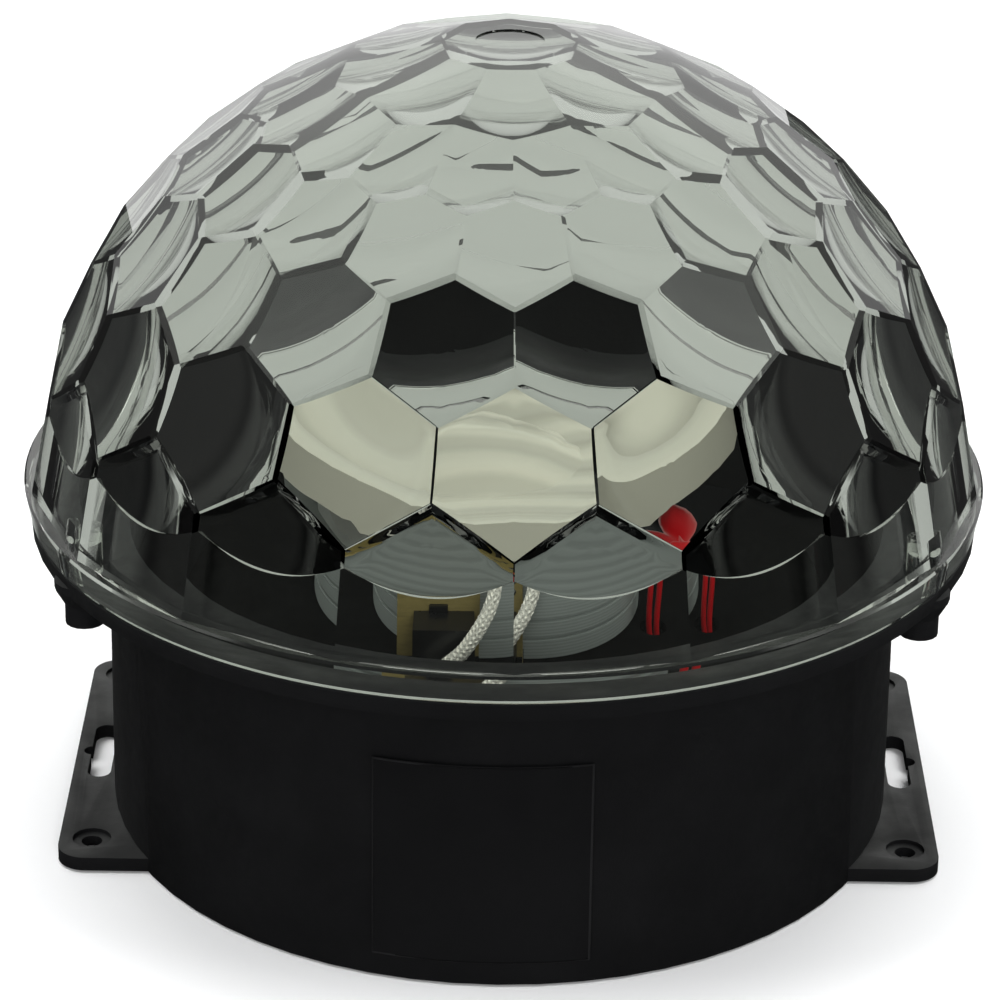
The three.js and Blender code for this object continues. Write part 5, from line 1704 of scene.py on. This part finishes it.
    def world(self) -> None:
        """Make the surround: white to the camera, else a room that is dim in front and pale behind."""
        world = bpy.data.worlds.new("studio_surround")
        bpy.context.scene.world = world
        world.use_nodes = True
        tree = world.node_tree
        tree.nodes.clear()
        way = add_node(tree, "ShaderNodeTexCoord").outputs["Generated"]
        parts = add_node(tree, "ShaderNodeSeparateXYZ", {"Vector": way})
        room = ramp(tree, parts.outputs["Z"], self.room_colours)
        glow = remap(tree, parts.outputs["Y"], self.glow_turn, (0.0, self.glow_level))
        both = add_node(tree, "ShaderNodeVectorMath", {0: room, 1: glow}, operation="ADD")
        strength = remap(tree, parts.outputs["Y"], self.room_turn, self.room_levels,
                         interpolation_type="SMOOTHSTEP")
        bent = ramp(tree, remap(tree, parts.outputs["Y"], self.bent_turn), self.bent_colours)
        path = add_node(tree, "ShaderNodeLightPath")
        surround = add_node(tree, "ShaderNodeBackground", {
            "Color": srgb(self.fill), "Strength": self.fill_level,
        }).outputs["Background"]
        for ray, colour, level in (
            ("Is Glossy Ray", both.outputs["Vector"], strength), ("Is Transmission Ray", bent, 1.0),
            ("Is Camera Ray", srgb("ffffff"), 1.0),
        ):
            shown = add_node(tree, "ShaderNodeBackground", {"Color": colour, "Strength": level})
            surround = add_node(tree, "ShaderNodeMixShader", {
                "Fac": path.outputs[ray], 1: surround, 2: shown.outputs["Background"],
            }).outputs["Shader"]
        add_node(tree, "ShaderNodeOutputWorld", {"Surface": surround})

    def lights(self) -> None:
        """Hang the soft boxes; neither mirror images nor the lenses show them."""
        for box in self.boxes:
            light = bpy.data.lights.new(box.name, "AREA")
            light.shape, light.energy = "RECTANGLE", box.power
            light.size, light.size_y = box.width, box.height
            lamp = bpy.data.objects.new(box.name, light)
            lamp.location = box.place
            aim = Vector((0, 0, self.aim_height)) - Vector(box.place)
            lamp.rotation_euler = aim.to_track_quat("-Z", "Y").to_euler()
            lamp.visible_transmission = lamp.visible_glossy = False
            bpy.context.scene.collection.objects.link(lamp)

    def camera(self) -> None:
        """Set the camera where the photograph was taken from."""
        lens = bpy.data.cameras.new("photo_camera")
        lens.sensor_width, lens.lens = self.sensor_width, self.focal_length
        camera = bpy.data.objects.new("photo_camera", lens)
        tilt = Matrix.Rotation(math.radians(90 - self.camera_fall), 4, "X")
        roll = Matrix.Rotation(math.radians(self.camera_roll), 4, "Z")
        camera.matrix_world = Matrix.Translation(self.camera_place) @ tilt @ roll
        bpy.context.scene.collection.objects.link(camera)
        bpy.context.scene.camera = camera


def numbered(name: str, count: int) -> tuple[str, ...]:
    """Name the nodes of a row of like pieces.

    Args:
        name: The name that they share.
        count: How many there are.

    Returns:
        The names, numbered from 1.
    """
    return tuple(f"{name}_{i + 1}" for i in range(count))


def main() -> None:
    """Build the studio and every sub-assembly in order."""
    logging.basicConfig(level=logging.INFO, format="%(name)s %(message)s", stream=sys.stdout)
    materials = Materials()
    Studio().build()
    LOG.info("Studio: built")
    dome = FacetedDome(materials).build()
    LOG.info("FacetedDome: %s, %d faces", dome.name, len(dome.data.polygons))
    for assembly in (
        BaseShell(materials, ("base_housing", "bottom_cover"), edge_mm=0.35),
        SubAssembly(materials, ("inner_floor", *numbered("rubber_foot", 4))),
        SubAssembly(materials, (*numbered("dome_screw", 4), *numbered("cover_screw", 4))),
        LampUnit(materials, ("lamp_drum", "lamp_board", *numbered("lamp", 3))),
        SubAssembly(materials, ("lens_wheel", "wheel_hub", "hub_screw", "output_shaft")),
        SubAssembly(materials, ("motor_can", "motor_lid", *numbered("motor_screw", 2), "motor_coil",
                                "shaft_bush", "motor_rotor", "rotor_pin", "idler_gear", "idler_pin")),
        DriverBoard(materials, ("driver_board", "driver_choke")),
        Leads(materials),
        SubAssembly(materials, ("control_board", *numbered("board_screw", 2), "power_transformer",
                                "filter_capacitor", "terminal_block"), edge_mm=0.15),
        RearPanel(materials, ("rear_panel", "mains_inlet", "switch_body", "power_rocker", "button_body",
                              "mode_button", "sensitivity_knob", *numbered("inlet_pin", 2)), edge_mm=0.2),
        SubAssembly(materials, (*numbered("panel_screw", 2), "potentiometer", "microphone")),
    ):
        assembly.build()


if __name__ == "__main__":
    main()
